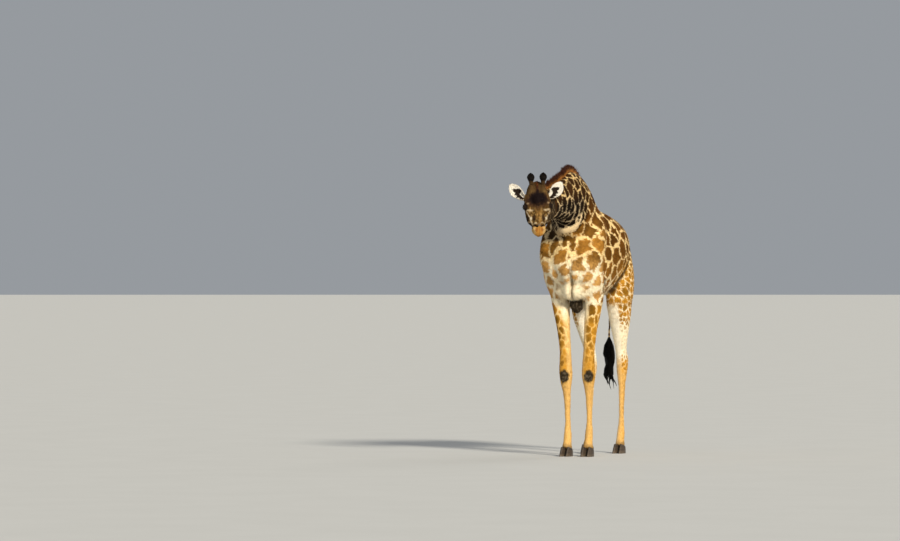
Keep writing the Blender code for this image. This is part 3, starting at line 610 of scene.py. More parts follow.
@dataclass
class Skin:
    """One seamless skin over all the flesh, with the folds, lids and lips of the head."""

    coat_depth: float = 0.004
    face_depth: float = 0.002
    voxel: float = 0.0045
    roughness: float = 0.0011
    lid_thickness: float = 0.0026
    eye_radius: float = 0.026
    opening_length: float = 0.84
    opening_height: float = 0.6
    face_forms: tuple[Swell, ...] = (
        Swell((0.0, -0.215, 0.006), (0.03, 0.055, 0.05), 0.006),
        Swell((0.075, -0.3, -0.03), (0.022, 0.07, 0.045), -0.007),
        Swell((0.092, -0.18, 0.0), (0.03, 0.03, 0.04), 0.006),
        Swell((0.1, -0.262, -0.135), (0.045, 0.06, 0.03), 0.006),
        Swell((0.062, -0.4, -0.085), (0.02, 0.035, 0.03), -0.004),
        Swell((0.04, -0.515, -0.15), (0.022, 0.022, 0.03), 0.003),
        Swell((0.0, -0.5, -0.205), (0.026, 0.024, 0.026), 0.004),
    )
    body_forms: tuple[Swell, ...] = (
        Swell((0.138, -0.13, 0.86), (0.04, 0.05, 0.07), 0.006),
        Swell((0.138, -0.03, 0.8), (0.03, 0.05, 0.06), 0.005),
        Swell((0.26, 0.06, 1.9), (0.06, 0.1, 0.12), -0.006),
        Swell((0.3, -0.12, 2.15), (0.08, 0.06, 0.2), 0.008),
        Swell((0.255, 1.06, 2.12), (0.06, 0.09, 0.09), 0.008),
    )
    flank_line: tuple[tuple[float, float, float, float], ...] = (
        (0.255, 1.12, 2.165, 0.012), (0.276, 1.03, 2.112, 0.018), (0.262, 0.85, 1.966, 0.023),
        (0.235, 0.775, 1.905, 0.028), (0.195, 0.755, 1.835, 0.036), (0.15, 0.765, 1.79, 0.042),
    )
    elbow_line: tuple[tuple[float, float, float, float], ...] = (
        (0.295, 0.21, 2.11, 0.005), (0.27, 0.254, 2.0, 0.01), (0.236, 0.287, 1.914, 0.015),
        (0.2, 0.36, 1.84, 0.024),
    )
    fold_depth: float = 0.012
    nostril_line: tuple[tuple[float, float], ...] = ((0.023, -0.45), (0.045, -0.436))
    surface: Surface = field(init=False, default=None)
    shares: Array = field(init=False, default=None)
    flow: Array = field(init=False, default=None)

    def build(self) -> "Skin":
        """Fuses the flesh, evens and smooths it, and gives it its folds and lids."""
        eyes = tuple(f"eye_{side}" for side in SIDES)
        net = remeshed(joined_nodes(FLESH + eyes, 0.0009), self.voxel * (1.0))
        self.surface = Surface(self._evened(net))
        self._find_regions()
        self._smooth()
        self._inset()
        self._refine_head()
        self._find_regions()
        self._lids()
        self._forms()
        self._find_regions()
        self.flow = self._lie()
        return self

    def _evened(self, net: Mesh) -> Mesh:
        """The net thinned to triangles of nearly one size, closer on the head.

        A slight tremble before the thinning keeps flat ground as closely meshed as the rest.
        """
        rng = np.random.default_rng(11)
        points = np.empty(len(net.vertices) * 3)
        net.vertices.foreach_get("co", points)
        points = points.reshape(-1, 3)
        head = in_head(points)
        near_head = smoothstep(0.4, 0.22, np.linalg.norm(head - (0, -0.25, -0.08), axis=1))
        high = smoothstep(2.1, 2.5, points[:, 2])
        tremble = self.roughness * (1.0 + 0.8 * high + 4.0 * near_head)
        points += rng.normal(size=points.shape) * tremble[:, None]
        net.vertices.foreach_set("co", points.ravel())
        obj = new_object("thinned", net)
        thin = obj.modifiers.new("thin", "DECIMATE")
        thin.ratio = min(1.0, SKIN_TRIANGLES / (2.0 * len(net.polygons)))
        mesh = evaluated(obj)
        bm = bmesh.new()
        bm.from_mesh(mesh)
        self._keep_largest(bm)
        bmesh.ops.triangulate(bm, faces=bm.faces)
        bm.to_mesh(mesh)
        bm.free()
        return mesh

    def _keep_largest(self, bm: bmesh.types.BMesh) -> None:
        """Drops every loose crumb but the body itself."""
        unseen = set(bm.verts)
        islands = []
        while unseen:
            stack = [unseen.pop()]
            island = list(stack)
            while stack:
                for edge in stack.pop().link_edges:
                    for vert in edge.verts:
                        if vert in unseen:
                            unseen.discard(vert)
                            island.append(vert)
                            stack.append(vert)
            islands.append(island)
        largest = max(islands, key=len)
        loose = [vert for island in islands if island is not largest for vert in island]
        bmesh.ops.delete(bm, geom=loose, context="VERTS")

    def _find_regions(self) -> None:
        """Shares each point of the skin among the regions, softly across their borders."""
        verts, faces, owner = [], [], []
        for node in FLESH:
            bm = whole_copy(node)
            start = len(verts)
            bm.verts.index_update()
            verts.extend(vert.co.copy() for vert in bm.verts)
            for face in bm.faces:
                faces.append([start + vert.index for vert in face.verts])
                owner.append(REGION_OF[node].value)
            bm.free()
        tree = BVHTree.FromPolygons(verts, faces)
        owner = np.array(owner)
        nearest = np.array([tree.find_nearest(Vector(p))[2] for p in self.surface.points])
        hard = np.eye(len(Region))[owner[nearest]]
        self.shares = self.surface.relaxed(hard, 14, 0.6)

    def share(self, region: Region) -> Array:
        """How much of each point belongs to a region."""
        return self.shares[:, region.value]

    def _smooth(self) -> None:
        """Takes out the facets, less on the head and hardly on the ears, and keeps the bulk."""
        surface = self.surface
        fine = np.clip(self.share(Region.HEAD) + 1.6 * self.share(Region.EAR), 0, 1)
        legs = self.share(Region.FORELEG) + self.share(Region.HIND_LEG)
        slim = smoothstep(0.2, 0.8, self.share(Region.TAIL))
        weight = 0.62 * (1 - 0.93 * fine) * (1 - 0.25 * legs) * (1 - 0.92 * slim)
        raw = surface.points
        even = surface.relaxed(raw, 3, 0.5 * (1 - 0.6 * self.share(Region.EAR)))
        soft = surface.relaxed(even, 22, weight)
        lost = surface.relaxed(raw - soft, 36, 0.6 * (1 - 0.5 * fine))
        surface.points = soft + lost

    def _inset(self) -> None:
        """Draws the skin in by the depth of the coat, so that the hair ends at the true outline."""
        surface = self.surface
        depth = np.full(len(surface.points), self.coat_depth)
        depth += (self.face_depth - self.coat_depth) * self.share(Region.HEAD)
        depth *= 1 - 0.95 * self.share(Region.EAR) - 0.6 * self.share(Region.TAIL)
        depth *= smoothstep(0.05, 0.25, surface.points[:, 2])
        surface.points = surface.points - surface.normals() * depth[:, None]

    def _refine_head(self) -> None:
        """Adds points round the eyes, the nostrils and the lips."""
        mesh = self.surface.mesh("refined")
        bm = bmesh.new()
        bm.from_mesh(mesh)
        spots = [(centre, reach) for reach in (0.048, 0.036) for centre in self.eye_centres()]
        spots.append((from_head(Vector((0.0, -0.492, -0.15))), 0.085))
        for centre, reach in spots:
            edges = [
                edge for edge in bm.edges
                if all((vert.co - centre).length < reach for vert in edge.verts)
                and edge.calc_length() > 0.0016
            ]
            bmesh.ops.subdivide_edges(bm, edges=edges, cuts=1, use_grid_fill=True)
            bmesh.ops.triangulate(bm, faces=[face for face in bm.faces if len(face.verts) > 3])
        bm.to_mesh(mesh)
        bm.free()
        self.surface = Surface(mesh)

    def eye_centres(self) -> list[Vector]:
        """The two eyes' centres, left then right."""
        return [sum(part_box(f"eye_{side}"), Vector()) / 2 for side in SIDES]

    def eye_axes(self, side: float) -> tuple[Array, Array, Array]:
        """The eye's outward axis, its axis along the lids and the one across them."""
        outward = (HEAD_TURN @ sided(EYE_OUTWARD, side)).normalized()
        nose = HEAD_TURN @ Vector((0.0, -1.0, -0.1))
        along = (nose - outward * nose.dot(outward)).normalized()
        across = outward.cross(along) * side
        if across.dot(HEAD_TURN @ Vector((0, 0, 1))) < 0:
            across = -across
        return np.array(outward), np.array(along), np.array(across)

    def _lids(self) -> None:
        """Wraps lids round each eye and opens them along an almond."""
        points = self.surface.points
        for side, centre in zip(SIDES.values(), self.eye_centres()):
            outward, along, across = self.eye_axes(side)
            away = points - np.array(centre)
            reach = np.linalg.norm(away, axis=1)
            heading = away / np.maximum(reach, 1e-6)[:, None]
            facing = heading @ outward
            near = (reach < self.eye_radius * 1.9) & (facing > -0.05)
            almond = np.hypot(
                (heading @ along) / self.opening_length, (heading @ across) / self.opening_height
            )
            lid = self.eye_radius + self.lid_thickness * (1 + 0.35 * np.exp(-((almond - 1.25) / 0.2) ** 2))
            lid -= 0.0016 * np.exp(-((almond - 1.75) / 0.12) ** 2)
            covered = np.maximum(reach, lid)
            opened = np.full_like(reach, self.eye_radius - 0.0065)
            inside = smoothstep(1.04, 0.97, almond)
            wanted = covered + (opened - covered) * inside
            fade = smoothstep(self.eye_radius * 1.9, self.eye_radius * 1.45, reach)
            change = np.where(near, (wanted - reach) * np.maximum(fade, inside), 0.0)
            points = points + heading * change[:, None]
        self.surface.points = points

    def _forms(self) -> None:
        """Adds the small forms: brow, cheek hollows, nostrils, lips, knees, tendons and folds."""
        surface = self.surface
        normals = surface.normals()
        head = in_head(surface.points)
        face = mirrored(head)
        on_head = self.share(Region.HEAD)
        rise = np.zeros(len(head))
        for form in self.face_forms:
            rise += form.height * hump(face, form.centre, form.radii) * on_head
        rise += self.nostrils(face) * on_head
        rise -= 0.005 * smoothstep(0.1, 0.4, horn_share(head)) * on_head
        rise += self._mouth(face) * on_head
        place = in_plan(surface.points)
        paired = mirrored(place)
        for form in self.body_forms:
            rise += form.height * hump(paired, form.centre, form.radii) * (1 - on_head)
        rise += self._throat_folds(place) * self.share(Region.NECK)
        rise += self._leg_cords(paired)
        rise += self._breast(place)
        rise -= self.fold_depth * self.side_folds(place)
        surface.points = surface.points + normals * rise[:, None]

    def nostrils(self, head: Array) -> Array:
        """Two slanting slits with raised rims on the muzzle."""
        _, off = beside_line(head[:, :2], *self.nostril_line)
        upper = smoothstep(-0.155, -0.125, head[:, 2])
        rim = 0.005 * np.exp(-((off - 0.017) / 0.006) ** 2)
        return upper * (rim - 0.015 * np.exp(-(off / 0.0085) ** 2))

    def _above_lips(self, head: Array) -> Array:
        """How far each point lies above the line between the lips."""
        return head[:, 2] - (-0.18 + 0.14 * (0.535 + head[:, 1]))

    def mouth_line(self, head: Array) -> Array:
        """How close each point is to the line between the lips: 1 on it, 0 away from it."""
        back = smoothstep(-0.405, -0.425, head[:, 1])
        return back * np.exp(-(self._above_lips(head) / 0.0042) ** 2)

    def _mouth(self, head: Array) -> Array:
        """The groove between the lips and the soft lips beside it."""
        back = smoothstep(-0.42, -0.45, head[:, 1])
        lips = np.exp(-((np.abs(self._above_lips(head)) - 0.012) / 0.007) ** 2)
        return 0.0025 * lips * back - 0.006 * self.mouth_line(head)

    def _throat_folds(self, place: Array) -> Array:
        """Loose folds under the arched neck, running round it where it meets the chest."""
        under = smoothstep(2.66, 2.46, place[:, 2]) * smoothstep(0.02, -0.12, place[:, 1])
        wave = np.sin((place[:, 1] + 0.35 * np.abs(place[:, 0])) * 46.0 + 0.8)
        return 0.006 * under * wave * smoothstep(-0.95, -0.6, place[:, 1])

    def breast_cleft(self, place: Array, low: float) -> tuple[Array, Array]:
        """How far each point lies beside the breast's cleft, and how far it is in its reach from `low` up."""
        x, y, z = place.T
        tall = smoothstep(low, low + 0.08, z) * smoothstep(low + 0.4, low + 0.3, z)
        return x - 0.011 - 0.175 * (z - 1.725), tall * smoothstep(-0.1, -0.18, y)

    def _breast(self, place: Array) -> Array:
        """The cleft between the two halves of the breast, and the fold under the base of the neck."""
        _, y, z = place.T
        middle, tall = self.breast_cleft(place, 1.68)
        swell = np.exp(-((np.abs(middle) - 0.055) / 0.035) ** 2)
        cleft = tall * (0.012 * swell - 0.042 * np.exp(-(middle / 0.021) ** 2))
        ring = np.exp(-((y + 0.462) / 0.02) ** 2) - 0.8 * np.exp(-((y + 0.505) / 0.018) ** 2)
        fold = 0.01 * ring * smoothstep(2.68, 2.55, z) * self.share(Region.NECK)
        return cleft + fold

    def side_folds(self, place: Array) -> Array:
        """How deep each point lies in the folds before the thigh and behind the elbow: 1 in them."""
        paired = mirrored(place)
        nearest = np.full(len(place), np.inf)
        for line in (self.flank_line, self.elbow_line):
            for start, stop in zip(line, line[1:]):
                share, off = beside_line(paired, start[:3], stop[:3])
                nearest = np.minimum(nearest, off / (start[3] + (stop[3] - start[3]) * share))
        return smoothstep(1.6, 0.5, nearest)

    def _leg_cords(self, place: Array) -> Array:
        """The tendons behind the cannons and the grooves in front of them."""
        low = smoothstep(0.8, 0.72, place[:, 2]) * smoothstep(0.2, 0.28, place[:, 2])
        fore = self.share(Region.FORELEG)
        hind = self.share(Region.HIND_LEG)
        grooves = np.exp(-((np.abs(place[:, 1] - 0.015) - 0.01) / 0.008) ** 2) * fore
        hock = np.exp(-(((place[:, 1] - 1.165 + 0.17 * (place[:, 0] < 0)) / 0.012) ** 2)) * hind
        return -0.004 * low * grooves - 0.003 * low * hock

    def spots(self) -> "Spots":
        """The skin's own points, for the markings."""
        return Spots(self.surface.points, self.surface.normals(), self.shares, self.flow)

    def roots(self, chosen: Array, weights: Array) -> "Spots":
        """Places in the chosen triangles, at the given shares of their corners."""
        corners = self.surface.triangles[chosen]
        own = self.spots()
        points, normals, shares, flow = (
            np.sum(values[corners] * weights, axis=1)
            for values in (own.points, own.normals, own.shares, own.flow)
        )
        return Spots(points, unit(normals), shares, unit(flow))

    def _lie(self) -> Array:
        """The way the hair lies at each point, along the skin from root to tip."""
        y = in_plan(self.surface.points)[:, 1]
        step = 0.05
        ahead, behind = neck_middle(y + step), neck_middle(y - step)
        neck = np.stack((ahead[0] - behind[0], np.full(len(y), 2 * step), ahead[1] - behind[1]), 1)
        lie = {
            Region.TRUNK: np.array((0.0, 0.9, -0.42)),
            Region.NECK: unit(neck) + np.array((0, 0, -0.15)),
            Region.HEAD: TURN @ np.array((0.0, 1.0, 0.15)),
            Region.FORELEG: np.array((0.0, 0.16, -1.0)),
            Region.HIND_LEG: np.array((0.0, 0.3, -1.0)),
            Region.TAIL: np.array((0.0, 0.15, -1.0)),
        }
        flow = np.zeros_like(self.surface.points)
        for region, way in lie.items():
            flow += self.share(region)[:, None] * way
        head = in_head(self.surface.points)
        for side in SIDES.values():
            axis = np.array((HEAD_TURN @ sided(EAR_AXIS, side)).normalized())
            flow += (self.share(Region.EAR) * (head[:, 0] * side > 0))[:, None] * axis
        flow = self.surface.relaxed(flow, 6, 0.5)
        normals = self.surface.normals()
        return unit(flow - normals * np.sum(flow * normals, axis=1)[:, None])


# ---------------------------------------------------------------- the markings


@dataclass
class Paint:
    """What a point of skin or a root of hair carries: its two colours and its place in a patch."""

    patch: Array
    soft: Array
    ground: Array
    brown: Array

    def write(self, mesh: Mesh, repeat: int = 1) -> None:
        """Stores the paint on a mesh that has `repeat` points for each row."""
        for name, values in (("patch", self.patch), ("soft", self.soft)):
            layer = mesh.attributes.new(name, "FLOAT", "POINT")
            layer.data.foreach_set("value", np.repeat(values, repeat).astype(np.float32))
        for name, values in (("ground", self.ground), ("brown", self.brown)):
            layer = mesh.attributes.new(name, "FLOAT_COLOR", "POINT")
            full = np.concatenate((np.clip(values, 0, 1), np.ones((len(values), 1))), axis=1)
            layer.data.foreach_set("color", np.repeat(full, repeat, axis=0).ravel().astype(np.float32))


@dataclass
class Spots:
    """Points of skin or roots of hair, as the markings need them."""

    points: Array
    normals: Array
    shares: Array
    flow: Array

    def share(self, region: Region) -> Array:
        """How much of each point belongs to a region."""
        return self.shares[:, region.value]

    def blend(self, values: dict[Region, object]) -> Array:
        """Values given region by region, mixed by how much of each point belongs to each."""
        return sum(self.share(region) * value for region, value in values.items())

    def kept(self, keep: Array) -> "Spots":
        """Only the spots where `keep` is true."""
        return Spots(self.points[keep], self.normals[keep], self.shares[keep], self.flow[keep])


class Zones:
    """Soft areas of the body, from 0 to 1 at each spot, that differ in how they are marked."""

    def __init__(self, spots: Spots) -> None:
        """Works the areas out.

        Args:
            spots: Points with their normals and regions.
        """
        self.x, self.y, self.z = x, y, z = in_plan(spots.points).T
        self.trunk, self.neck = spots.share(Region.TRUNK), spots.share(Region.NECK)
        self.fore, self.hind = spots.share(Region.FORELEG), spots.share(Region.HIND_LEG)
        above = z - neck_middle(y)[1]
        self.crest = smoothstep(0.14, 0.19, above)
        self.throat = self.neck * smoothstep(-0.3, -0.52, y) * smoothstep(0.1, -0.06, above)
        self.front = smoothstep(0.15, -0.2, y) * smoothstep(2.62, 2.42, z)
        self.low = smoothstep(2.1, 1.85, z)
        self.thigh = smoothstep(0.5, 0.8, y) * smoothstep(2.25, 1.95, z)
        self.chest = self.trunk * self.front * smoothstep(2.22, 2.02, z)
        # A pale band along the fold under the neck: partly a pale line of the coat, partly a painted sunlit
        # highlight
        reach = 0.021 * np.sqrt(np.clip(1 - ((x - 0.075) / 0.135) ** 2, 0, 1)) + 0.002
        self.neck_fold_pale_and_highlight = self.neck * (np.abs(y + 0.462) < reach) * (z < 2.64)
        # Painted shadow of the head and neck, on the chest and the low neck beside the throat
        painted_neck_shadow = self.trunk * smoothstep(0.03, -0.04, x) * smoothstep(2.3, 2.37, z)
        painted_neck_shadow *= smoothstep(-0.1, -0.25, y)
        painted_neck_shadow += self.neck * smoothstep(0.02, -0.03, x) * smoothstep(2.62, 2.5, z)
        self.painted_neck_shadow = np.clip(painted_neck_shadow, 0, 1)
        outward = np.sign(x) * spots.normals[:, 0]
        self.inner = smoothstep(-0.1, -0.65, outward)
        ahead = smoothstep(-0.25, -0.75, spots.normals[:, 1]) * smoothstep(0.55, 0.15, outward)
        self.inner_or_ahead = np.maximum(self.inner, ahead)
        self.under = smoothstep(-0.5, -0.92, spots.normals[:, 2]) * self.trunk * smoothstep(-0.2, 0.1, y)
        self.between_legs = smoothstep(0.185, 0.12, np.abs(x)) * smoothstep(1.94, 1.8, z)
        self.between_legs *= smoothstep(1.42, 1.56, z) * (self.trunk + self.fore) * smoothstep(0.05, -0.05, y)
        self.knee = self.fore * smoothstep(1.3, 1.02, z)
        self.shin = self.fore * smoothstep(0.86, 0.76, z) + self.hind * smoothstep(1.12, 0.92, z)

    def plainness(self) -> Array:
        """How far the patches fade into the ground: on the belly, the inner legs and the shins."""
        hind_cannon = self.hind * smoothstep(1.46, 1.32, self.z) * smoothstep(1.06, 1.14, self.z)
        low_hind = self.hind * smoothstep(0.96, 0.84, self.z)
        fade = 0.8 * self.under + 0.85 * self.between_legs + 0.6 * self.fore * self.inner
        fade += 0.7 * hind_cannon + self.hind * self.inner_or_ahead * 0.85
        fade += self.knee * 0.2 + self.shin * (self.fore + low_hind) * 0.6
        return np.clip(fade, 0, 0.96)


@dataclass
class HeadMarkings:
    """The face's dark and pale places, the muzzle, the horns' shafts and the strokes in the ears."""

    skin: Skin
    face_brown: Colour = (0.1, 0.05, 0.012)
    face_dark: Colour = (0.03, 0.017, 0.009)
    face_tan: Colour = (0.45, 0.28, 0.1)
    bridge_brown: Colour = (0.26, 0.13, 0.032)
    jaw_tan: Colour = (0.21, 0.145, 0.075)
    crown_brown: Colour = (0.115, 0.058, 0.018)
    crown_olive: Colour = (0.3, 0.185, 0.055)
    parting_red: Colour = (0.12, 0.032, 0.009)
    forehead_rim: Colour = (0.05, 0.02, 0.011)
    forehead_black: Colour = (0.009, 0.005, 0.005)
    poll_brown: Colour = (0.09, 0.034, 0.01)
    shaft_low: Colour = (0.085, 0.046, 0.017)
    shaft_high: Colour = (0.05, 0.026, 0.012)
    muzzle_orange: Colour = (0.42, 0.19, 0.036)
    muzzle_side: Colour = (0.56, 0.355, 0.135)
    lip_red: Colour = (0.2, 0.06, 0.014)
    lip_groove: Colour = (0.1, 0.045, 0.02)
    # Painted shade in the groove between the lips
    mouth_line_shade: Colour = (0.03, 0.018, 0.012)
    # Painted shade in the nostril slits
    nostril_shade: Colour = (0.008, 0.005, 0.004)
    eye_shade: Colour = (0.012, 0.007, 0.005)
    cheek_spot: Colour = (0.02, 0.012, 0.007)
    ear_pale: Colour = (0.8, 0.74, 0.64)
    ear_tawny: Colour = (0.47, 0.33, 0.18)
    ear_tip: Colour = (0.1, 0.06, 0.035)
    ear_root: Colour = (0.3, 0.2, 0.1)
    ear_stroke: Colour = (0.022, 0.014, 0.01)
    # Soft ovals on the face: centre beside and down the nose, half sizes, colour, strength
    face_spots: tuple[tuple[Pair, Pair, Colour, float], ...] = (
        ((0.092, 0.282), (0.034, 0.009), (0.56, 0.43, 0.27), 0.8),
        ((0.112, 0.214), (0.016, 0.008), (0.4, 0.27, 0.15), 0.6),
        ((0.082, 0.362), (0.011, 0.014), (0.62, 0.53, 0.38), 1.0),
        ((0.118, 0.352), (0.018, 0.032), (0.035, 0.022, 0.012), 1.0),
        ((0.096, 0.412), (0.022, 0.018), (0.035, 0.022, 0.012), 1.0),
        ((0.047, 0.362), (0.014, 0.034), (0.036, 0.019, 0.009), 1.0),
        ((0.0, 0.445), (0.02, 0.016), (0.13, 0.1, 0.07), 0.9),
    )
    # Pale strokes on the face: start, stop, half width, colour
    face_lines: tuple[tuple[Pair, Pair, float, Colour], ...] = (
        ((0.126, 0.29), (0.096, 0.345), 0.0034, (0.56, 0.45, 0.3)),
        ((0.02, 0.424), (0.036, 0.41), 0.0042, (0.7, 0.56, 0.35)),
        ((0.036, 0.41), (0.066, 0.42), 0.0042, (0.7, 0.56, 0.35)),
        ((0.084, 0.375), (0.07, 0.408), 0.004, (0.58, 0.46, 0.3)),
        ((0.12, 0.385), (0.092, 0.394), 0.0035, (0.52, 0.4, 0.26)),
    )
    # The two edges of the ear's dark stroke: shares of the ear's length, and how far off its axis
    stroke_upper: tuple[tuple[float, ...], tuple[float, ...]] = (
        (0.05, 0.28, 0.38, 0.42, 0.56, 0.76),
        (0.0, 0.001, 0.008, 0.048, 0.046, 0.006),
    )
    stroke_lower: tuple[tuple[float, ...], tuple[float, ...]] = (
        (0.05, 0.25, 0.28, 0.4, 0.43, 0.55, 0.58, 0.66, 0.76),
        (-0.016, -0.042, -0.024, -0.056, -0.023, -0.038, -0.006, -0.016, -0.002),
    )

    def mark(self, spots: Spots, paint: Paint, inside: Array) -> None:
        """Paints the head's spots.

        Args:
            spots: Points of skin or roots of hair.
            paint: What they carry, which is changed.
            inside: How far inside its patch each spot lies.
        """
        self._face(spots, paint, inside)
        self._ears(spots, paint)

    def _face(self, spots: Spots, paint: Paint, inside: Array) -> None:
        """The face: dark forehead, olive crown, streaked nose, pale cheek lines and an orange muzzle."""
        head = in_head(spots.points)
        x, down, up = np.abs(head[:, 0]), -head[:, 1], head[:, 2]
        top = smoothstep(-0.13, -0.05, up + 0.25 * (down - 0.2) * (down > 0.2))
        jaw = smoothstep(-0.085, -0.15, up)
        speck = ripple(spots.points, 60.0, 2.0)
        muzzle = smoothstep(0.448, 0.462, down + 0.006 * speck)
        streaks = ripple(head * (75.0, 16.0, 40.0), 1.0, 7.0)
        fine = ripple(head * (150.0, 34.0, 80.0), 1.0, 4.0)
        face = np.tile(np.asarray(self.face_brown), (len(x), 1))
        bridge = smoothstep(0.045, 0.015, x) * smoothstep(0.24, 0.3, down)
        face = mixed(face, bridge * 0.7, self.bridge_brown)
        face = mixed(face, smoothstep(0.0, 0.45, streaks) * 0.6, self.face_dark)
        face = mixed(face, smoothstep(-0.15, -0.5, streaks) * 0.45, self.face_tan)
        face = mixed(face, smoothstep(0.1, 0.45, fine) * 0.55, self.face_dark)
        face = mixed(face, smoothstep(-0.15, -0.45, fine) * 0.5, self.face_tan)
        face = mixed(face, jaw * 0.9, self.jaw_tan)
        face = self._crown(face, head, top, 0.02 * speck + 0.012 * streaks + 0.016 * fine)
        plan = np.stack((x, down), axis=1)
        for centre, radii, colour, strength in self.face_spots:
            spot = np.sum(((plan - centre) / radii) ** 2, axis=1) * (1 + 0.5 * speck)
            face = mixed(face, smoothstep(1.5, 0.5, spot) * strength * smoothstep(-0.2, -0.16, up), colour)
        worn = 0.25 + 0.7 * smoothstep(0.2, -0.25, fine + 0.5 * streaks)
        for start, stop, half, colour in self.face_lines:
            off = beside_line(plan, start, stop)[1] + 0.0035 * speck
            face = mixed(face, smoothstep(half * 1.5, half * 0.6, off) * worn, colour)
        face = self._muzzle(face, mirrored(head), muzzle)
        for centre in self.skin.eye_centres():
            away = np.linalg.norm(spots.points - np.array(centre), axis=1)
            face = mixed(face, smoothstep(0.054, 0.036, away) * 0.97, self.eye_shade)
        strength = smoothstep(0.25, 0.75, spots.share(Region.HEAD))
        paint.ground += (face - paint.ground) * strength[:, None]
        spotted = mixed(face, np.full(len(x), 0.94), self.cheek_spot)
        paint.brown += (spotted - paint.brown) * strength[:, None]
        marked = np.where(jaw * (1 - muzzle) > 0.5, inside - 0.0024, NO_PATCH)
        paint.patch = np.where(strength > 0.5, marked, paint.patch)

    def _crown(self, face: Array, head: Array, top: Array, fringe: Array) -> Array:
        """The olive crown with its red parting, the dark tuft on the forehead and the horns' shafts.

        Args:
            face: The colours so far.
            head: The spots in the head's own axes.
            top: 1 on the upper side of the head, 0 below.
            fringe: How far the tuft's ragged edge wanders.

        Returns:
            The changed colours.
        """
        x, down = np.abs(head[:, 0]), -head[:, 1]
        crown = smoothstep(0.16, 0.09, down) * top
        lobe = np.exp(-((x - 0.055) / 0.03) ** 2)
        face = mixed(face, crown, self.crown_brown)
        face = mixed(face, crown * lobe, self.crown_olive)
        parting = hump(head, (0.006, -0.03, 0.02), (0.026, 0.075, 0.1))
        face = mixed(face, parting * 0.95, self.parting_red)
        tuft = np.hypot(x / 0.118, (down - 0.158 - 2.4 * x * x + fringe) / (0.09 - 0.35 * x))
        face = mixed(face, smoothstep(1.75, 1.0, tuft) * top * 0.7, self.forehead_rim)
        face = mixed(face, smoothstep(1.38, 0.6, tuft) * top, self.forehead_black)
        face = mixed(face, smoothstep(0.015, -0.02, down) * top, self.poll_brown)
        shaft = horn_share(head)
        face = mixed(face, smoothstep(0.0, 0.25, shaft), self.shaft_low)
        return mixed(face, smoothstep(0.35, 0.85, shaft), self.shaft_high)

    def _muzzle(self, face: Array, head: Array, muzzle: Array) -> Array:
        """The orange muzzle with its lips and nostrils, on a head laid over to its left side."""
        x, down = head[:, 0], -head[:, 1]
        face = mixed(face, muzzle, self.muzzle_orange)
        face = mixed(face, muzzle * smoothstep(0.026, 0.055, x), self.muzzle_side)
        lip = smoothstep(0.024, 0.004, np.hypot(x - 0.03, down - 0.485))
        face = mixed(face, muzzle * 0.7 * lip, self.lip_red)
        groove = smoothstep(0.005, 0.002, x) * smoothstep(0.455, 0.475, down)
        face = mixed(face, groove * 0.45, self.lip_groove)
        # Painted shade along the groove between the lips, and in the nostrils
        face = mixed(face, self.skin.mouth_line(head) * 0.9, self.mouth_line_shade)
        return mixed(face, smoothstep(0.0, -0.004, self.skin.nostrils(head)), self.nostril_shade)

    def _ears(self, spots: Spots, paint: Paint) -> None:
        """Ears pale inside with one jagged dark stroke from the root, and tawny behind."""
        head = in_head(spots.points)
        in_ear = smoothstep(0.35, 0.75, spots.share(Region.EAR))
        inner_way = spots.normals @ TURN
        for side in SIDES.values():
            axis = np.array(sided(EAR_AXIS, side).normalized())
            opening = np.array(sided(EAR_OPENING, side).normalized())
            away = head - np.array(sided(EAR_ROOT, side))
            share = (away @ axis) / EAR_LENGTH
            off = -side * (away @ np.cross(axis, opening))
            inner = smoothstep(-0.1, 0.3, inner_way @ opening)
            here = in_ear * (head[:, 0] * side > 0)
            upper = np.interp(share, *self.stroke_upper)
            lower = np.interp(share, *self.stroke_lower)
            stroke = np.minimum(upper - off, off - lower)
            stroke = np.where((share > 0.05) & (share < 0.76) & (inner > 0.4), stroke, NO_PATCH)
            behind = np.tile(np.asarray(self.ear_tawny), (len(off), 1))
            behind = mixed(behind, smoothstep(0.72, 0.95, share), self.ear_tip)
            ground = mixed(behind, inner, self.ear_pale)
            ground = mixed(ground, smoothstep(0.1, -0.02, share) * 0.6, self.ear_root)
            paint.ground += (ground - paint.ground) * here[:, None]
            paint.brown = mixed(paint.brown, here, self.ear_stroke)
            paint.patch = np.where(here > 0.5, stroke, paint.patch)


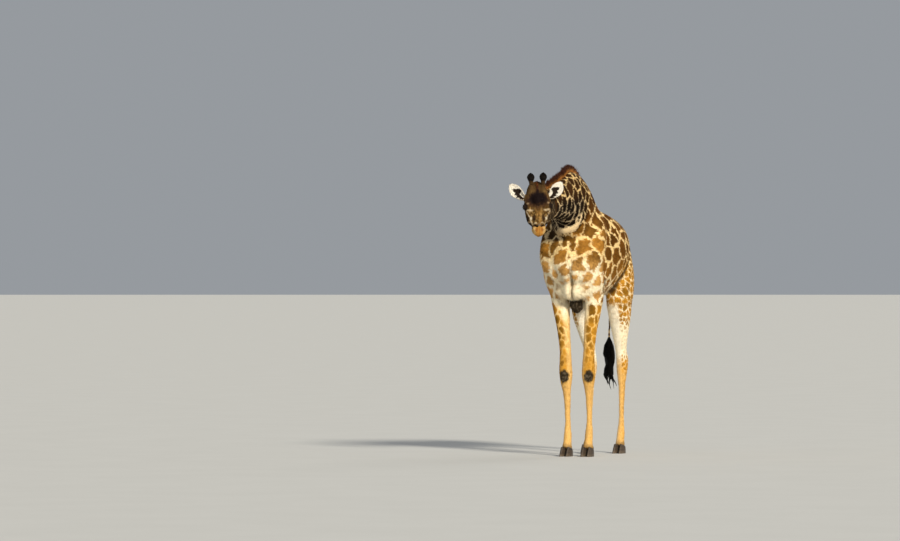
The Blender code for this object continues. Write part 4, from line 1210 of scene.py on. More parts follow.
@dataclass
class Markings:
    """Ragged brown patches on cream, set out by seeds that stand closer on the limbs and neck."""

    skin: Skin
    # Near black for the throat's patches, partly their own dark colour and partly painted shade; also painted
    # shadow at the neck's base
    throat_black_and_shade: Colour = (0.016, 0.01, 0.006)
    dark_brown: Colour = (0.062, 0.024, 0.006)
    flank_brown: Colour = (0.19, 0.07, 0.008)
    # Gold for the front and lower trunk: partly the coat's own colour, partly painted sunlight
    golden_and_sunlit: Colour = (0.48, 0.215, 0.034)
    spot_orange: Colour = (0.52, 0.24, 0.024)
    chest_gold: Colour = (0.68, 0.37, 0.11)
    # Cream lines dimmed to grey: painted shade over the throat's pale lines and at the neck's base
    throat_shaded_cream: Colour = (0.52, 0.39, 0.24)
    neck_cream: Colour = (0.8, 0.56, 0.25)
    # Bright cream of the neck fold: partly its pale line, partly painted highlight
    fold_cream_and_highlight: Colour = (0.95, 0.73, 0.43)
    body_cream: Colour = (0.88, 0.64, 0.3)
    pale_cream: Colour = (0.965, 0.84, 0.59)
    inner_white: Colour = (1.0, 0.915, 0.73)
    forearm_tan: Colour = (0.74, 0.45, 0.135)
    knee_tan: Colour = (0.56, 0.285, 0.048)
    # Painted shade on the underside of the belly
    belly_underside_shade: Colour = (0.45, 0.31, 0.16)
    shin_tan: Colour = (0.69, 0.41, 0.13)
    cleft_shade: Colour = (0.12, 0.075, 0.035)
    # Painted shade for the folds before the thighs and behind the elbows; it also darkens the tail's own dark
    # length
    fold_shade_and_dark_tail: Colour = (0.045, 0.025, 0.01)
    fold_shade_and_dark_tail_brown: Colour = (0.035, 0.018, 0.007)
    callus_dark: Colour = (0.03, 0.021, 0.012)
    callus_worn: Colour = (0.13, 0.1, 0.065)
    fetlock_brown: Colour = (0.16, 0.1, 0.05)
    trials: int = 26_000
    breast_x: float = 0.028
    seeds: Array = field(init=False, default=None)
    sizes: Array = field(init=False, default=None)
    ways: Array = field(init=False, default=None)
    stretch: Array = field(init=False, default=None)
    tones: Array = field(init=False, default=None)
    tree: KDTree = field(init=False, default=None)

    def spacing(self, spots: Spots) -> tuple[Array, Array]:
        """The width of a patch at each point, and how much longer than wide it is."""
        x, y, z = in_plan(spots.points).T
        front = smoothstep(0.2, -0.25, y)
        rump = smoothstep(0.7, 1.1, y)
        low = smoothstep(2.12, 1.9, z)
        crest = smoothstep(0.14, 0.19, z - neck_middle(y)[1])
        wide = smoothstep(0.12, 0.19, np.abs(x))
        trunk = 0.135 + 0.034 * front - 0.04 * rump
        trunk = trunk - front * low * (0.07 - 0.03 * wide) - 0.03 * (1 - front) * low
        trunk += (0.066 - trunk) * (smoothstep(0.55, 0.8, y) * smoothstep(2.25, 1.95, z))
        base = smoothstep(-0.5, 0.05, y)
        width = spots.blend({
            Region.TRUNK: trunk,
            Region.NECK: 0.145 * (1 - 0.36 * crest),
            Region.HEAD: 0.034,
            Region.FORELEG: 0.042 + 0.026 * smoothstep(1.0, 1.4, z) + 0.052 * smoothstep(1.5, 1.7, z),
            Region.HIND_LEG: 0.037 + 0.024 * smoothstep(1.35, 1.75, z),
            Region.TAIL: 0.034,
            Region.EAR: 0.05,
        })
        stretch = spots.blend({
            Region.TRUNK: 1.45 - 0.4 * np.maximum(front, rump),
            Region.NECK: 0.56 + 0.44 * base + 0.35 * crest,
            Region.HEAD: 1.2, Region.FORELEG: 1.35, Region.HIND_LEG: 1.15, Region.TAIL: 1.3, Region.EAR: 1.0,
        })
        return width, stretch

    def plant(self) -> "Markings":
        """Scatters the seeds over the skin, each clear of the ones before it."""
        spots = self.skin.spots()
        width, stretch = self.spacing(spots)
        rng = np.random.default_rng(23)
        chosen = np.empty(self.trials, np.int64)
        count = 0
        for index in rng.permutation(len(spots.points))[:self.trials]:
            gaps = spots.points[chosen[:count]] - spots.points[index]
            apart = stretched_length(gaps, gaps @ spots.flow[index], stretch[index])
            if apart.min(initial=np.inf) >= 0.86 * width[index]:
                chosen[count] = index
                count += 1
        chosen = chosen[:count]
        self.seeds = spots.points[chosen]
        self.sizes = width[chosen] * rng.uniform(0.9, 1.12, count)
        self.ways = spots.flow[chosen]
        self.stretch = stretch[chosen]
        self.tones = rng.uniform(-1, 1, count)
        self.tree = KDTree(count)
        for k, seed in enumerate(self.seeds):
            self.tree.insert(Vector(seed), k)
        self.tree.balance()
        log.info("markings: %d patches", count)
        return self

    def _borders(self, spots: Spots, width: Array) -> tuple[Array, Array]:
        """How far inside its patch each point lies, and which patch that is."""
        near = 8
        drift = sway(spots.points, 11.0) * 0.22 + sway(spots.points, 25.0, 5.0) * 0.19
        drift += sway(spots.points, 62.0, 9.0) * 0.07
        calm = 1 - 0.45 * spots.share(Region.NECK)
        moved = spots.points + drift * (width * calm)[:, None]
        found = np.array([[hit[1] for hit in self.tree.find_n(Vector(p), near)] for p in moved])
        gap = moved[:, None, :] - self.seeds[found]
        along = np.sum(gap * self.ways[found], axis=2)
        apart = stretched_length(gap, along, self.stretch[found]) / self.sizes[found]
        order = np.argsort(apart, axis=1)
        rows = np.arange(len(moved))
        first, second = order[:, 0], order[:, 1]
        size = self.sizes[found[rows, first]]
        inside = (apart[rows, second] - apart[rows, first]) * size / 2
        return inside, found[rows, first]

    def paint(self, spots: Spots) -> Paint:
        """The colours and the patch of each spot."""
        zones = Zones(spots)
        inside, owner = self._borders(spots, self.spacing(spots)[0])
        ground = self._ground(zones)
        brown = self._brown(spots, zones, inside, self.tones[owner])
        brown += (ground - brown) * zones.plainness()[:, None]
        made = Paint(self._patch(spots, zones, inside), self._softness(spots, zones), ground, brown)
        self._calluses(spots, made)
        self._folds(spots, made)
        HeadMarkings(self.skin).mark(spots, made, inside)
        return made

    def _patch(self, spots: Spots, zones: Zones, inside: Array) -> Array:
        """How far inside the brown of its patch each spot lies, less half the pale line between patches."""
        x, y, z = zones.x, zones.y, zones.z
        trunk = 0.01 + 0.0045 * zones.front + 0.003 * zones.low * (1 - zones.thigh) - 0.005 * zones.thigh
        line = spots.blend({
            Region.TRUNK: trunk,
            Region.NECK: 0.0088 - 0.0022 * zones.crest,
            Region.HEAD: 0.006,
            Region.FORELEG: 0.0062 + 0.004 * smoothstep(1.4, 1.7, z),
            Region.HIND_LEG: 0.0046,
            Region.TAIL: 0.006,
        })
        line *= 1 + 0.45 * ripple(spots.points, 24.0, 3.0)
        patch = inside - line - 0.004 * zones.chest
        # No patches on the neck fold, so that its painted highlight stays pale
        patch = np.where(zones.neck_fold_pale_and_highlight > 0.5, NO_PATCH, patch)
        breast = np.abs(x - self.breast_x - 0.006 * np.sin(z * 40)) - 0.011
        on_breast = (y < -0.25) & (z > 2.04) & (z < 2.34) & (zones.trunk > 0.5)
        patch = np.where(on_breast, np.minimum(patch, breast), patch)
        return patch - 0.004 * zones.hind * smoothstep(1.5, 1.36, z) * smoothstep(1.0, 1.12, z)

    def _softness(self, spots: Spots, zones: Zones) -> Array:
        """How wide the border of a patch is."""
        trunk = 0.005 + 0.006 * zones.front + 0.003 * zones.low + 0.006 * zones.chest
        return spots.blend({
            Region.TRUNK: trunk, Region.NECK: 0.0045, Region.HEAD: 0.004, Region.FORELEG: 0.007,
            Region.HIND_LEG: 0.007, Region.TAIL: 0.004, Region.EAR: 0.002,
        })

    def _brown(self, spots: Spots, zones: Zones, inside: Array, tone: Array) -> Array:
        """The patches' colour, with painted shade at the throat and the neck's base and painted sunlight
        mixed into the gold on the front of the trunk.

        Args:
            spots: The points.
            zones: The body's areas at them.
            inside: How far inside its patch each lies.
            tone: The tone of its patch, from -1 to 1.

        Returns:
            A colour a spot.
        """
        y, z = zones.y, zones.z
        brown = np.tile(np.asarray(self.flank_brown), (len(y), 1))
        for share, colour in (
            (zones.neck * smoothstep(0.05, -0.45, y), self.dark_brown),
            # The throat's patches: partly their own dark brown, partly painted shade under the arched neck
            (zones.throat, self.throat_black_and_shade),
            (zones.trunk * smoothstep(2.55, 2.85, z) * 0.7, self.dark_brown),
            # Gold on the lower and front trunk: partly the coat's own colour, partly painted sunlight
            (zones.trunk * smoothstep(2.3, 1.85, z) * 0.6, self.golden_and_sunlit),
            (zones.front * zones.trunk, self.golden_and_sunlit),
            (zones.fore + zones.hind + zones.thigh * zones.trunk, self.spot_orange),
            (zones.chest * 0.9, self.chest_gold),
        ):
            brown = mixed(brown, share, colour)
        cloud = smoothstep(-0.15, 0.45, ripple(spots.points, 9.0, 6.0)) * (1 - zones.chest)
        core = smoothstep(0.0, 0.035, inside) * (1 - 0.8 * zones.chest)
        depth = 1 + (0.2 + 0.22 * zones.front * (1 - zones.chest)) * tone
        depth -= 0.3 * core + 0.5 * zones.front * cloud
        brown = brown * np.maximum(depth, 0.42)[:, None]
        # Painted shadow at the neck's base, where the head and neck shade the chest
        return mixed(brown, zones.painted_neck_shadow * 0.9, self.throat_black_and_shade)

    def _ground(self, zones: Zones) -> Array:
        """The pale colour between the patches and on the plain parts."""
        y, z = zones.y, zones.z
        light = zones.trunk * zones.low * 0.6 + zones.chest + zones.under + zones.between_legs + zones.hind
        forearm = zones.fore * smoothstep(1.6, 1.4, z) * (1 - 0.7 * zones.inner)
        # Painted shade on the belly's underside, towards the hind legs
        belly = zones.under * smoothstep(0.05, 0.15, np.abs(zones.x)) * smoothstep(0.1, 0.3, y)
        inner_hind = zones.hind * zones.inner_or_ahead * smoothstep(1.0, 1.12, z)
        ground = np.tile(np.asarray(self.body_cream), (len(y), 1))
        for share, colour in (
            (zones.neck * smoothstep(-0.1, -0.5, y), self.neck_cream),
            # The throat's pale lines dimmed to grey: painted shade
            (zones.throat * 0.85, self.throat_shaded_cream),
            # The neck fold's pale band: partly its own pale line, partly painted highlight
            (zones.neck_fold_pale_and_highlight, self.fold_cream_and_highlight),
            # Painted shadow over the pale lines at the neck's base
            (zones.painted_neck_shadow * 0.7, self.throat_shaded_cream),
            (light, self.pale_cream),
            (forearm, self.forearm_tan),
            (zones.knee * (1 - 0.5 * zones.inner), self.knee_tan),
            (zones.shin * (1 - 0.3 * zones.inner), self.shin_tan),
            (belly * 0.8, self.belly_underside_shade),
            (inner_hind, self.inner_white),
        ):
            ground = mixed(ground, share, colour)
        return ground

    def _folds(self, spots: Spots, paint: Paint) -> None:
        """Painted shade in the cleft of the breast and in the deep folds at the belly and behind the elbow,
        and the dark length of the tail.
        """
        place = in_plan(spots.points)
        middle, tall = self.skin.breast_cleft(place, 1.66)
        # Painted shade down the cleft between the two halves of the breast
        cleft = 0.75 * tall * np.exp(-(middle / 0.014) ** 2)
        z = place[:, 2]
        tail = spots.share(Region.TAIL) * smoothstep(1.34, 1.38, z) * smoothstep(1.6, 1.52, z)
        # Painted shade in the flank and elbow folds, and the tail's own dark length above its brush
        deep = np.maximum(self.skin.side_folds(place) * 0.92, tail * 0.8)
        paint.ground = mixed(mixed(paint.ground, cleft, self.cleft_shade), deep, self.fold_shade_and_dark_tail)
        paint.brown = mixed(mixed(paint.brown, cleft, self.cleft_shade), deep, self.fold_shade_and_dark_tail_brown)

    def _calluses(self, spots: Spots, paint: Paint) -> None:
        """Bare dark pads on the fronts of the knees and on the breastbone, and dark fetlocks."""
        place = in_plan(spots.points)
        moved = mirrored(place) - np.outer(np.sign(place[:, 0]), (0.022, 0.0, 0.0))
        shape = (moved - (0.143, -0.1, 0.868)) / (0.064, 0.09, 0.078)
        reach = np.sqrt(np.sum(shape * shape, axis=1)) + 0.2 * ripple(place, 40.0)
        knee = smoothstep(1.14, 0.84, reach) * smoothstep(0.05, 0.35, -spots.normals[:, 1])
        knee *= spots.share(Region.FORELEG)
        shape = (place - (0.0, -0.03, 1.64)) / (0.078, 0.13, 0.105)
        brisket = smoothstep(1.12, 0.85, np.sqrt(np.sum(shape * shape, axis=1)))
        bare = np.maximum(knee, brisket * (spots.share(Region.TRUNK) > 0.3))
        crown = max(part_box(f"hoof_{end}_left_outer")[1].z for end in ("fore", "hind"))
        cuff = 0.55 * smoothstep(crown + 0.055, crown, place[:, 2])
        scuffed = bare * smoothstep(0.0, 0.35, ripple(place, 55.0, 8.0))
        for name in ("ground", "brown"):
            colours = mixed(getattr(paint, name), bare, self.callus_dark)
            colours = mixed(colours, scuffed * 0.7, self.callus_worn)
            setattr(paint, name, mixed(colours, cuff, self.fetlock_brown))


# ---------------------------------------------------------------- hair


@dataclass
class Locks:
    """Many tapering three-sided locks of hair, joined in one mesh.

    Each row of `lines` is one lock's centre line, from its root to its tip.
    """

    lines: Array
    outward: Array
    widths: Array
    flatness: float = 0.45
    taper: tuple[float, ...] = (1.0, 0.8)

    @property
    def rings(self) -> int:
        """How many rings of three points a lock has below its tip."""
        return self.lines.shape[1] - 1

    @property
    def points_each(self) -> int:
        """How many points one lock has."""
        return self.rings * 3 + 1

    def along(self) -> Array:
        """How far up a lock each of its points lies, from 0 to 1."""
        return np.append(np.repeat(np.linspace(0, 1, self.rings + 1)[:-1], 3), 1.0)

    def mesh(self, name: str) -> Mesh:
        """The joined mesh, with each point's share of the way to the tip as `along`."""
        count, rings, each = len(self.lines), self.rings, self.points_each
        tangent = unit(np.gradient(self.lines, axis=1))
        outward = np.repeat(self.outward[:, None, :], rings + 1, axis=1)
        across = unit(np.cross(tangent, outward))
        upward = unit(np.cross(across, tangent))
        sizes = np.interp(np.linspace(0, 1, rings + 1), np.linspace(0, 1, len(self.taper)), self.taper)
        half = self.widths[:, None, None] * sizes[None, :, None] / 2
        left = self.lines - across * half - upward * half * self.flatness
        right = self.lines + across * half - upward * half * self.flatness
        crest = self.lines + upward * half * self.flatness
        body = np.stack((left, crest, right), axis=2)[:, :rings]
        points = np.concatenate((body.reshape(count, rings * 3, 3), self.lines[:, -1:, :]), axis=1)
        faces = []
        for ring in range(rings - 1):
            low, high = ring * 3, ring * 3 + 3
            for k in range(3):
                j = (k + 1) % 3
                faces.append((low + k, low + j, high + j))
                faces.append((low + k, high + j, high + k))
        last = (rings - 1) * 3
        faces.extend((last + k, last + (k + 1) % 3, each - 1) for k in range(3))
        faces.append((0, 2, 1))
        faces = np.array(faces)
        triangles = faces[None] + (np.arange(count) * each)[:, None, None]
        made = bpy.data.meshes.new(name)
        flat = triangles.reshape(-1, 3)
        made.vertices.add(count * each)
        made.vertices.foreach_set("co", points.reshape(-1).astype(np.float32))
        made.loops.add(flat.size)
        made.loops.foreach_set("vertex_index", flat.ravel().astype(np.int32))
        made.polygons.add(len(flat))
        made.polygons.foreach_set("loop_start", np.arange(0, flat.size, 3, dtype=np.int32))
        made.update(calc_edges=True)
        made.shade_smooth()
        store_along(made, np.tile(self.along(), count))
        return made

    def unwrap(self, mesh: Mesh, places: Array, patch: float = 0.003) -> None:
        """Gives each lock a small patch of the map at its root's place on the skin's unwrap."""
        across = np.append(np.tile((0.0, 0.5, 1.0), self.rings), 0.5)
        local = np.stack((across, self.along()), axis=1) - 0.5
        spread = places[:, None, :] + local[None] * patch
        loops = np.empty(len(mesh.loops), np.int32)
        mesh.loops.foreach_get("vertex_index", loops)
        layer = mesh.uv_layers.new(name=UV_NAME)
        layer.data.foreach_set("uv", spread.reshape(-1, 2)[loops].ravel().astype(np.float32))


def corner_weights(rng: Chance, count: int) -> Array:
    """The shares of three corners for `count` places spread evenly over triangles."""
    a, b = rng.random((2, count))
    a, b = np.where(a + b > 1, 1 - a, a), np.where(a + b > 1, 1 - b, b)
    return np.stack((1 - a - b, a, b), axis=1)[:, :, None]


@dataclass(frozen=True)
class CoatPatch:
    """Where one piece of the short coat grows, and how closely and how long."""

    name: str
    regions: tuple[Region, ...]
    count: int
    length: tuple[float, float]
    width: float
    lift: float
    side: float = 0.0


@dataclass
class Coat:
    """The short flat hair over the skin, in tufts that follow its lie and carry its markings."""

    skin: Skin
    markings: Markings
    finish: CoatFinish
    patches: tuple[CoatPatch, ...] = (
        CoatPatch("coat_trunk_left", (Region.TRUNK,), 19_000, (0.018, 0.03), 0.005, 0.13, 1.0),
        CoatPatch("coat_trunk_right", (Region.TRUNK,), 19_000, (0.018, 0.03), 0.005, 0.13, -1.0),
        CoatPatch("coat_neck", (Region.NECK,), 19_000, (0.014, 0.024), 0.0042, 0.14),
        CoatPatch("coat_head", (Region.HEAD, Region.EAR), 18_000, (0.006, 0.011), 0.0021, 0.16),
        CoatPatch("coat_forelegs", (Region.FORELEG,), 14_000, (0.01, 0.018), 0.0036, 0.14),
        CoatPatch("coat_hind_legs", (Region.HIND_LEG, Region.TAIL), 18_000, (0.01, 0.019), 0.0038, 0.14),
    )

    def build(self) -> None:
        """Makes every piece of the coat."""
        material = self.finish.material()
        area = self.skin.surface.areas()
        for index, patch in enumerate(self.patches):
            self._grow(patch, area, np.random.default_rng(100 + index), material)

    def _grow(self, patch: CoatPatch, area: Array, rng: Chance, material: Material) -> None:
        """Grows one piece of coat.

        Args:
            patch: Where and how it grows.
            area: The area of each of the skin's triangles.
            rng: The piece's own seeded chance.
            material: The coat's finish.
        """
        triangles = self.skin.surface.triangles
        owner = self.skin.shares[triangles].mean(axis=1).argmax(axis=1)
        wanted = np.isin(owner, [region.value for region in patch.regions])
        middle = self.skin.surface.points[triangles].mean(axis=1)
        if patch.side:
            wanted &= middle[:, 0] * patch.side > 0
        density = area * wanted * self._closeness(middle)
        chosen = rng.choice(len(triangles), patch.count, p=density / density.sum())
        spots = self.skin.roots(chosen, corner_weights(rng, patch.count))
        spots = spots.kept(self._haired(spots))
        count = len(spots.points)
        away = spots.normals
        side = unit(np.cross(spots.flow, away))
        turn = rng.normal(0, 0.16, (count, 1))
        heading = unit(spots.flow + side * turn)
        length = rng.uniform(*patch.length, (count, 1)) * self._longer(spots)[:, None]
        lift = patch.lift * rng.uniform(0.6, 1.5, (count, 1))
        base = spots.points - away * 0.0012
        middle = base + heading * length * 0.52 + away * (0.0012 + length * lift * 0.8)
        tip = base + heading * length + away * (0.0008 + length * lift)
        lines = np.stack((base, middle, tip), axis=1)
        widths = patch.width * rng.uniform(0.75, 1.25, count)
        locks = Locks(lines, away, widths, 0.22, (1.0, 0.85, 0.0))
        mesh = locks.mesh(patch.name)
        locks.unwrap(mesh, self._places(patch, spots))
        self.markings.paint(spots).write(mesh, locks.points_each)
        finish_piece(patch.name, mesh, material)

    def _closeness(self, points: Array) -> Array:
        """Hair stands closer where it breaks the outline: at the throat and the belly."""
        _, y, z = in_plan(points).T
        throat = smoothstep(2.62, 2.5, z) * smoothstep(-0.15, -0.45, y)
        belly = smoothstep(1.75, 1.62, z) * smoothstep(1.35, 1.55, z)
        return 1 + 0.6 * throat + 0.5 * belly

    def _longer(self, spots: Spots) -> Array:
        """How much longer than usual the hair is: behind the legs, along the throat and belly."""
        z = in_plan(spots.points)[:, 2]
        legs = spots.share(Region.FORELEG) + spots.share(Region.HIND_LEG)
        behind = legs * smoothstep(0.2, 0.8, spots.normals[:, 1]) * smoothstep(1.5, 1.1, z)
        fetlock = legs * smoothstep(0.3, 0.18, z) * smoothstep(0.1, 0.7, spots.normals[:, 1])
        under = spots.share(Region.TRUNK) * smoothstep(-0.4, -0.9, spots.normals[:, 2])
        head = in_head(spots.points)
        muzzle = spots.share(Region.HEAD) * smoothstep(0.38, 0.5, -head[:, 1])
        crown = spots.share(Region.HEAD) * smoothstep(0.1, 0.0, -head[:, 1])
        crown *= 1 + 1.6 * np.exp(-(head[:, 0] / 0.03) ** 2)
        low = legs * smoothstep(0.6, 0.3, z)
        longer = 1 + 0.7 * behind + 1.1 * fetlock + 0.5 * under + 1.3 * crown
        return longer * (1 - 0.45 * muzzle) * (1 - 0.25 * low)

    def _haired(self, spots: Spots) -> Array:
        """Where hair grows at all: not on the eyes, in the nostrils or between the lips."""
        keep = np.ones(len(spots.points), bool)
        for centre in self.skin.eye_centres():
            keep &= np.linalg.norm(spots.points - np.array(centre), axis=1) > 0.0305
        head = mirrored(in_head(spots.points))
        bare = (self.skin.nostrils(head) < -0.002) | (self.skin.mouth_line(head) > 0.4)
        return keep & ~((spots.share(Region.HEAD) > 0.4) & bare)

    def _places(self, patch: CoatPatch, spots: Spots) -> Array:
        """Each root's place on an unwrap of this part of the skin, rolled out round its own axis."""
        x, y, z = in_plan(spots.points).T
        if Region.TRUNK in patch.regions:
            return self._fitted(y, (-0.65, 1.55), np.arctan2(np.abs(x), z - 2.2) / math.pi)
        if Region.NECK in patch.regions:
            centre_x, centre_z = neck_middle(y)
            return self._fitted(y, (-1.4, 0.45), turned(x - centre_x, z - centre_z))
        if Region.HEAD in patch.regions:
            return self._head_places(spots)
        hind = Region.HIND_LEG in patch.regions
        centre_y = (1.08 - 0.17 * (x < 0)) if hind else 0.0
        centre_x = 0.15 if hind else 0.135
        places = self._fitted(z, (0.05, 1.95), turned(y - centre_y, np.abs(x) - centre_x))
        places[:, 1] = 0.5 * places[:, 1] + np.where(x > 0, 0.5, 0.0)
        return places

    def _head_places(self, spots: Spots) -> Array:
        """The head rolled out round the nose over most of the map, and the ears side by side above."""
        x, y, z = in_head(spots.points).T
        places = self._fitted(-y, (-0.1, 0.56), turned(x, z + 0.09))
        places[:, 1] *= 0.78
        out = np.clip((np.abs(x) - 0.1) / 0.22, 0, 1)
        high = np.clip((z + 0.2) / 0.22, 0, 1)
        ears = np.stack((0.02 + 0.46 * out + np.where(x > 0, 0.5, 0.0), 0.8 + 0.18 * high), axis=1)
        return np.where((spots.share(Region.EAR) > 0.5)[:, None], ears, places)

    def _fitted(self, along: Array, span: Pair, around: Array) -> Array:
        """Places in the map's unit square, clear of its edges.

        Args:
            along: How far along the part each root lies.
            span: The part's two ends.
            around: How far round it each root lies, from 0 to 1.

        Returns:
            A pair of map coordinates a root.
        """
        share = np.clip((along - span[0]) / (span[1] - span[0]), 0, 1)
        return np.stack((0.01 + 0.98 * share, 0.01 + 0.98 * np.clip(around, 0, 1)), axis=1)


# ---------------------------------------------------------------- long hair, horns, eyes and hooves


def scattered(mesh: Mesh, count: int, rng: Chance) -> tuple[Array, Array]:
    """`count` places spread evenly over a mesh, with its normals there."""
    surface = Surface(mesh)
    area = surface.areas()
    corners = surface.triangles[rng.choice(len(area), count, p=area / area.sum())]
    weights = corner_weights(rng, count)
    places = np.sum(surface.points[corners] * weights, axis=1)
    return places, unit(np.sum(surface.normals()[corners] * weights, axis=1))


def rounded_copy(node: str, voxel: float, inset: float, smoothing: int) -> Surface:
    """A CAD node's shape as a fine smooth net, drawn in a little.

    Args:
        node: The CAD node.
        voxel: The width of the net's meshes.
        inset: How far it is drawn in.
        smoothing: How many times it is smoothed.

    Returns:
        The net.
    """
    mesh = remeshed(joined_nodes((node,), -inset), voxel)
    bm = bmesh.new()
    bm.from_mesh(mesh)
    for _ in range(smoothing):
        bmesh.ops.smooth_vert(
            bm, verts=bm.verts, factor=0.5, use_axis_x=True, use_axis_y=True, use_axis_z=True
        )
    bmesh.ops.triangulate(bm, faces=bm.faces)
    bm.to_mesh(mesh)
    bm.free()
    return Surface(mesh)


def bent_lines(roots: Array, headings: Array, bends: Array, lengths: Array, points: int) -> Array:
    """The centre lines of hairs that start along their headings and bend more towards their tips.

    Args:
        roots: Where each hair starts.
        headings: The way that it starts.
        bends: How far it turns aside at its tip, for a length of one.
        lengths: Its length.
        points: How many points it gets.

    Returns:
        A line of points a hair.
    """
    steps = np.linspace(0, 1, points)[None, :, None]
    shape = headings[:, None, :] * steps + bends[:, None, :] * steps ** 2
    return roots[:, None, :] + shape * lengths[:, None, None]


@dataclass
class Mane:
    """A stiff upright brush of hair down the neck, over a thin core."""

    skin: Skin
    finish: LockFinish = LockFinish(
        "mane_hair", root=(0.36, 0.14, 0.028), tip=(0.04, 0.009, 0.002), roughness=0.6, turn=(0.18, 0.8)
    )
    height: float = 0.085
    half_width: float = 0.017
    core_slimming: float = 0.5
    core_lowering: float = 0.35
    rooting: float = 0.004
    width: float = 0.0042
    count: int = 9000

    def build(self) -> None:
        """Makes the core and the hair."""
        rng = np.random.default_rng(31)
        material = self.finish.material()
        core = rounded_copy("mane", voxel=0.006, inset=0.005, smoothing=3)
        ys, xs, zs = self._crest(core)
        middle = np.interp(core.points[:, 1], ys, xs)
        rise = np.maximum(core.points[:, 2] - np.interp(core.points[:, 1], ys, zs), 0.0)
        core.points[:, 0] += (middle - core.points[:, 0]) * self.core_slimming
        core.points[:, 2] -= rise * self.core_lowering
        mesh = core.mesh("mane_core")
        store_along(mesh, np.clip(rise / self.height, 0, 1))
        finish_piece("mane_core", mesh, material, ("mane",))
        self._hair(ys, xs, zs, rng, material)

    def _crest(self, core: Surface) -> tuple[Array, Array, Array]:
        """The line along the top of the neck on which the hair stands, as y, x and z."""
        low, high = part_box("mane")
        surface = self.skin.surface
        tree = BVHTree.FromPolygons(surface.points.tolist(), surface.triangles.tolist())
        ys = np.linspace(low.y + 0.004, high.y - 0.004, 80)
        order = np.argsort(core.points[:, 1])
        xs = np.interp(ys, core.points[order, 1][::7], core.points[order, 0][::7])
        xs = np.convolve(np.pad(xs, 6, mode="edge"), np.ones(13) / 13, mode="valid")
        hits = [tree.ray_cast(Vector((x, y, 4.0)), Vector((0, 0, -1)))[0] for x, y in zip(xs, ys)]
        zs = np.array([hit.z for hit in hits])
        zs = np.convolve(np.pad(zs, 3, mode="edge"), np.ones(7) / 7, mode="valid")
        return ys, xs, zs

    def _hair(self, ys: Array, xs: Array, zs: Array, rng: Chance, material: Material) -> None:
        """Stands the locks along the crest, thickest in its middle."""
        low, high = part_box("mane")
        y = rng.uniform(ys[0], ys[-1], self.count)
        share = (y - low.y) / (high.y - low.y)
        middle = np.interp(y, ys, xs)
        x = middle + rng.normal(0, 0.42, self.count) * self.half_width
        z = np.interp(y, ys, zs) - self.rooting
        tilt = np.interp(y, ys, np.gradient(zs, ys))
        upward = unit(np.stack((np.zeros_like(y), -tilt, np.ones_like(y)), axis=1))
        backward = unit(np.stack((np.zeros_like(y), np.ones_like(y), tilt), axis=1))
        rise = self.height * np.minimum(1.0, np.minimum(5 * (1 - share), 0.6 + 3 * share))
        length = (rise + self.rooting) * rng.uniform(0.6, 1.1, self.count)
        root = np.stack((x, y, z), axis=1)
        clump = sway(root, 38.0, 2.0) * (0.32, 0.5, 0.0) + sway(root, 9.0, 4.0) * (0.14, 0.2, 0.0)
        lean = (x - middle)[:, None] / self.half_width * np.array((0.16, 0, 0))
        heading = upward + backward * rng.normal(0.1, 0.06, (self.count, 1)) + clump + lean
        bend = backward * rng.normal(0.02, 0.05, (self.count, 1))
        lines = bent_lines(root, unit(heading), bend, length, 5)
        outward = np.tile((1.0, 0.0, 0.0), (self.count, 1)) * np.sign(rng.random((self.count, 1)) - 0.5)
        widths = self.width * rng.uniform(0.7, 1.3, self.count)
        locks = Locks(lines, outward, widths, 0.6, (1.0, 0.95, 0.85, 0.6, 0.0))
        mesh = locks.mesh("mane_hair")
        locks.unwrap(mesh, np.stack((0.02 + 0.96 * share, 0.5 + 6 * (x - middle)), axis=1))
        finish_piece("mane_hair", mesh, material)


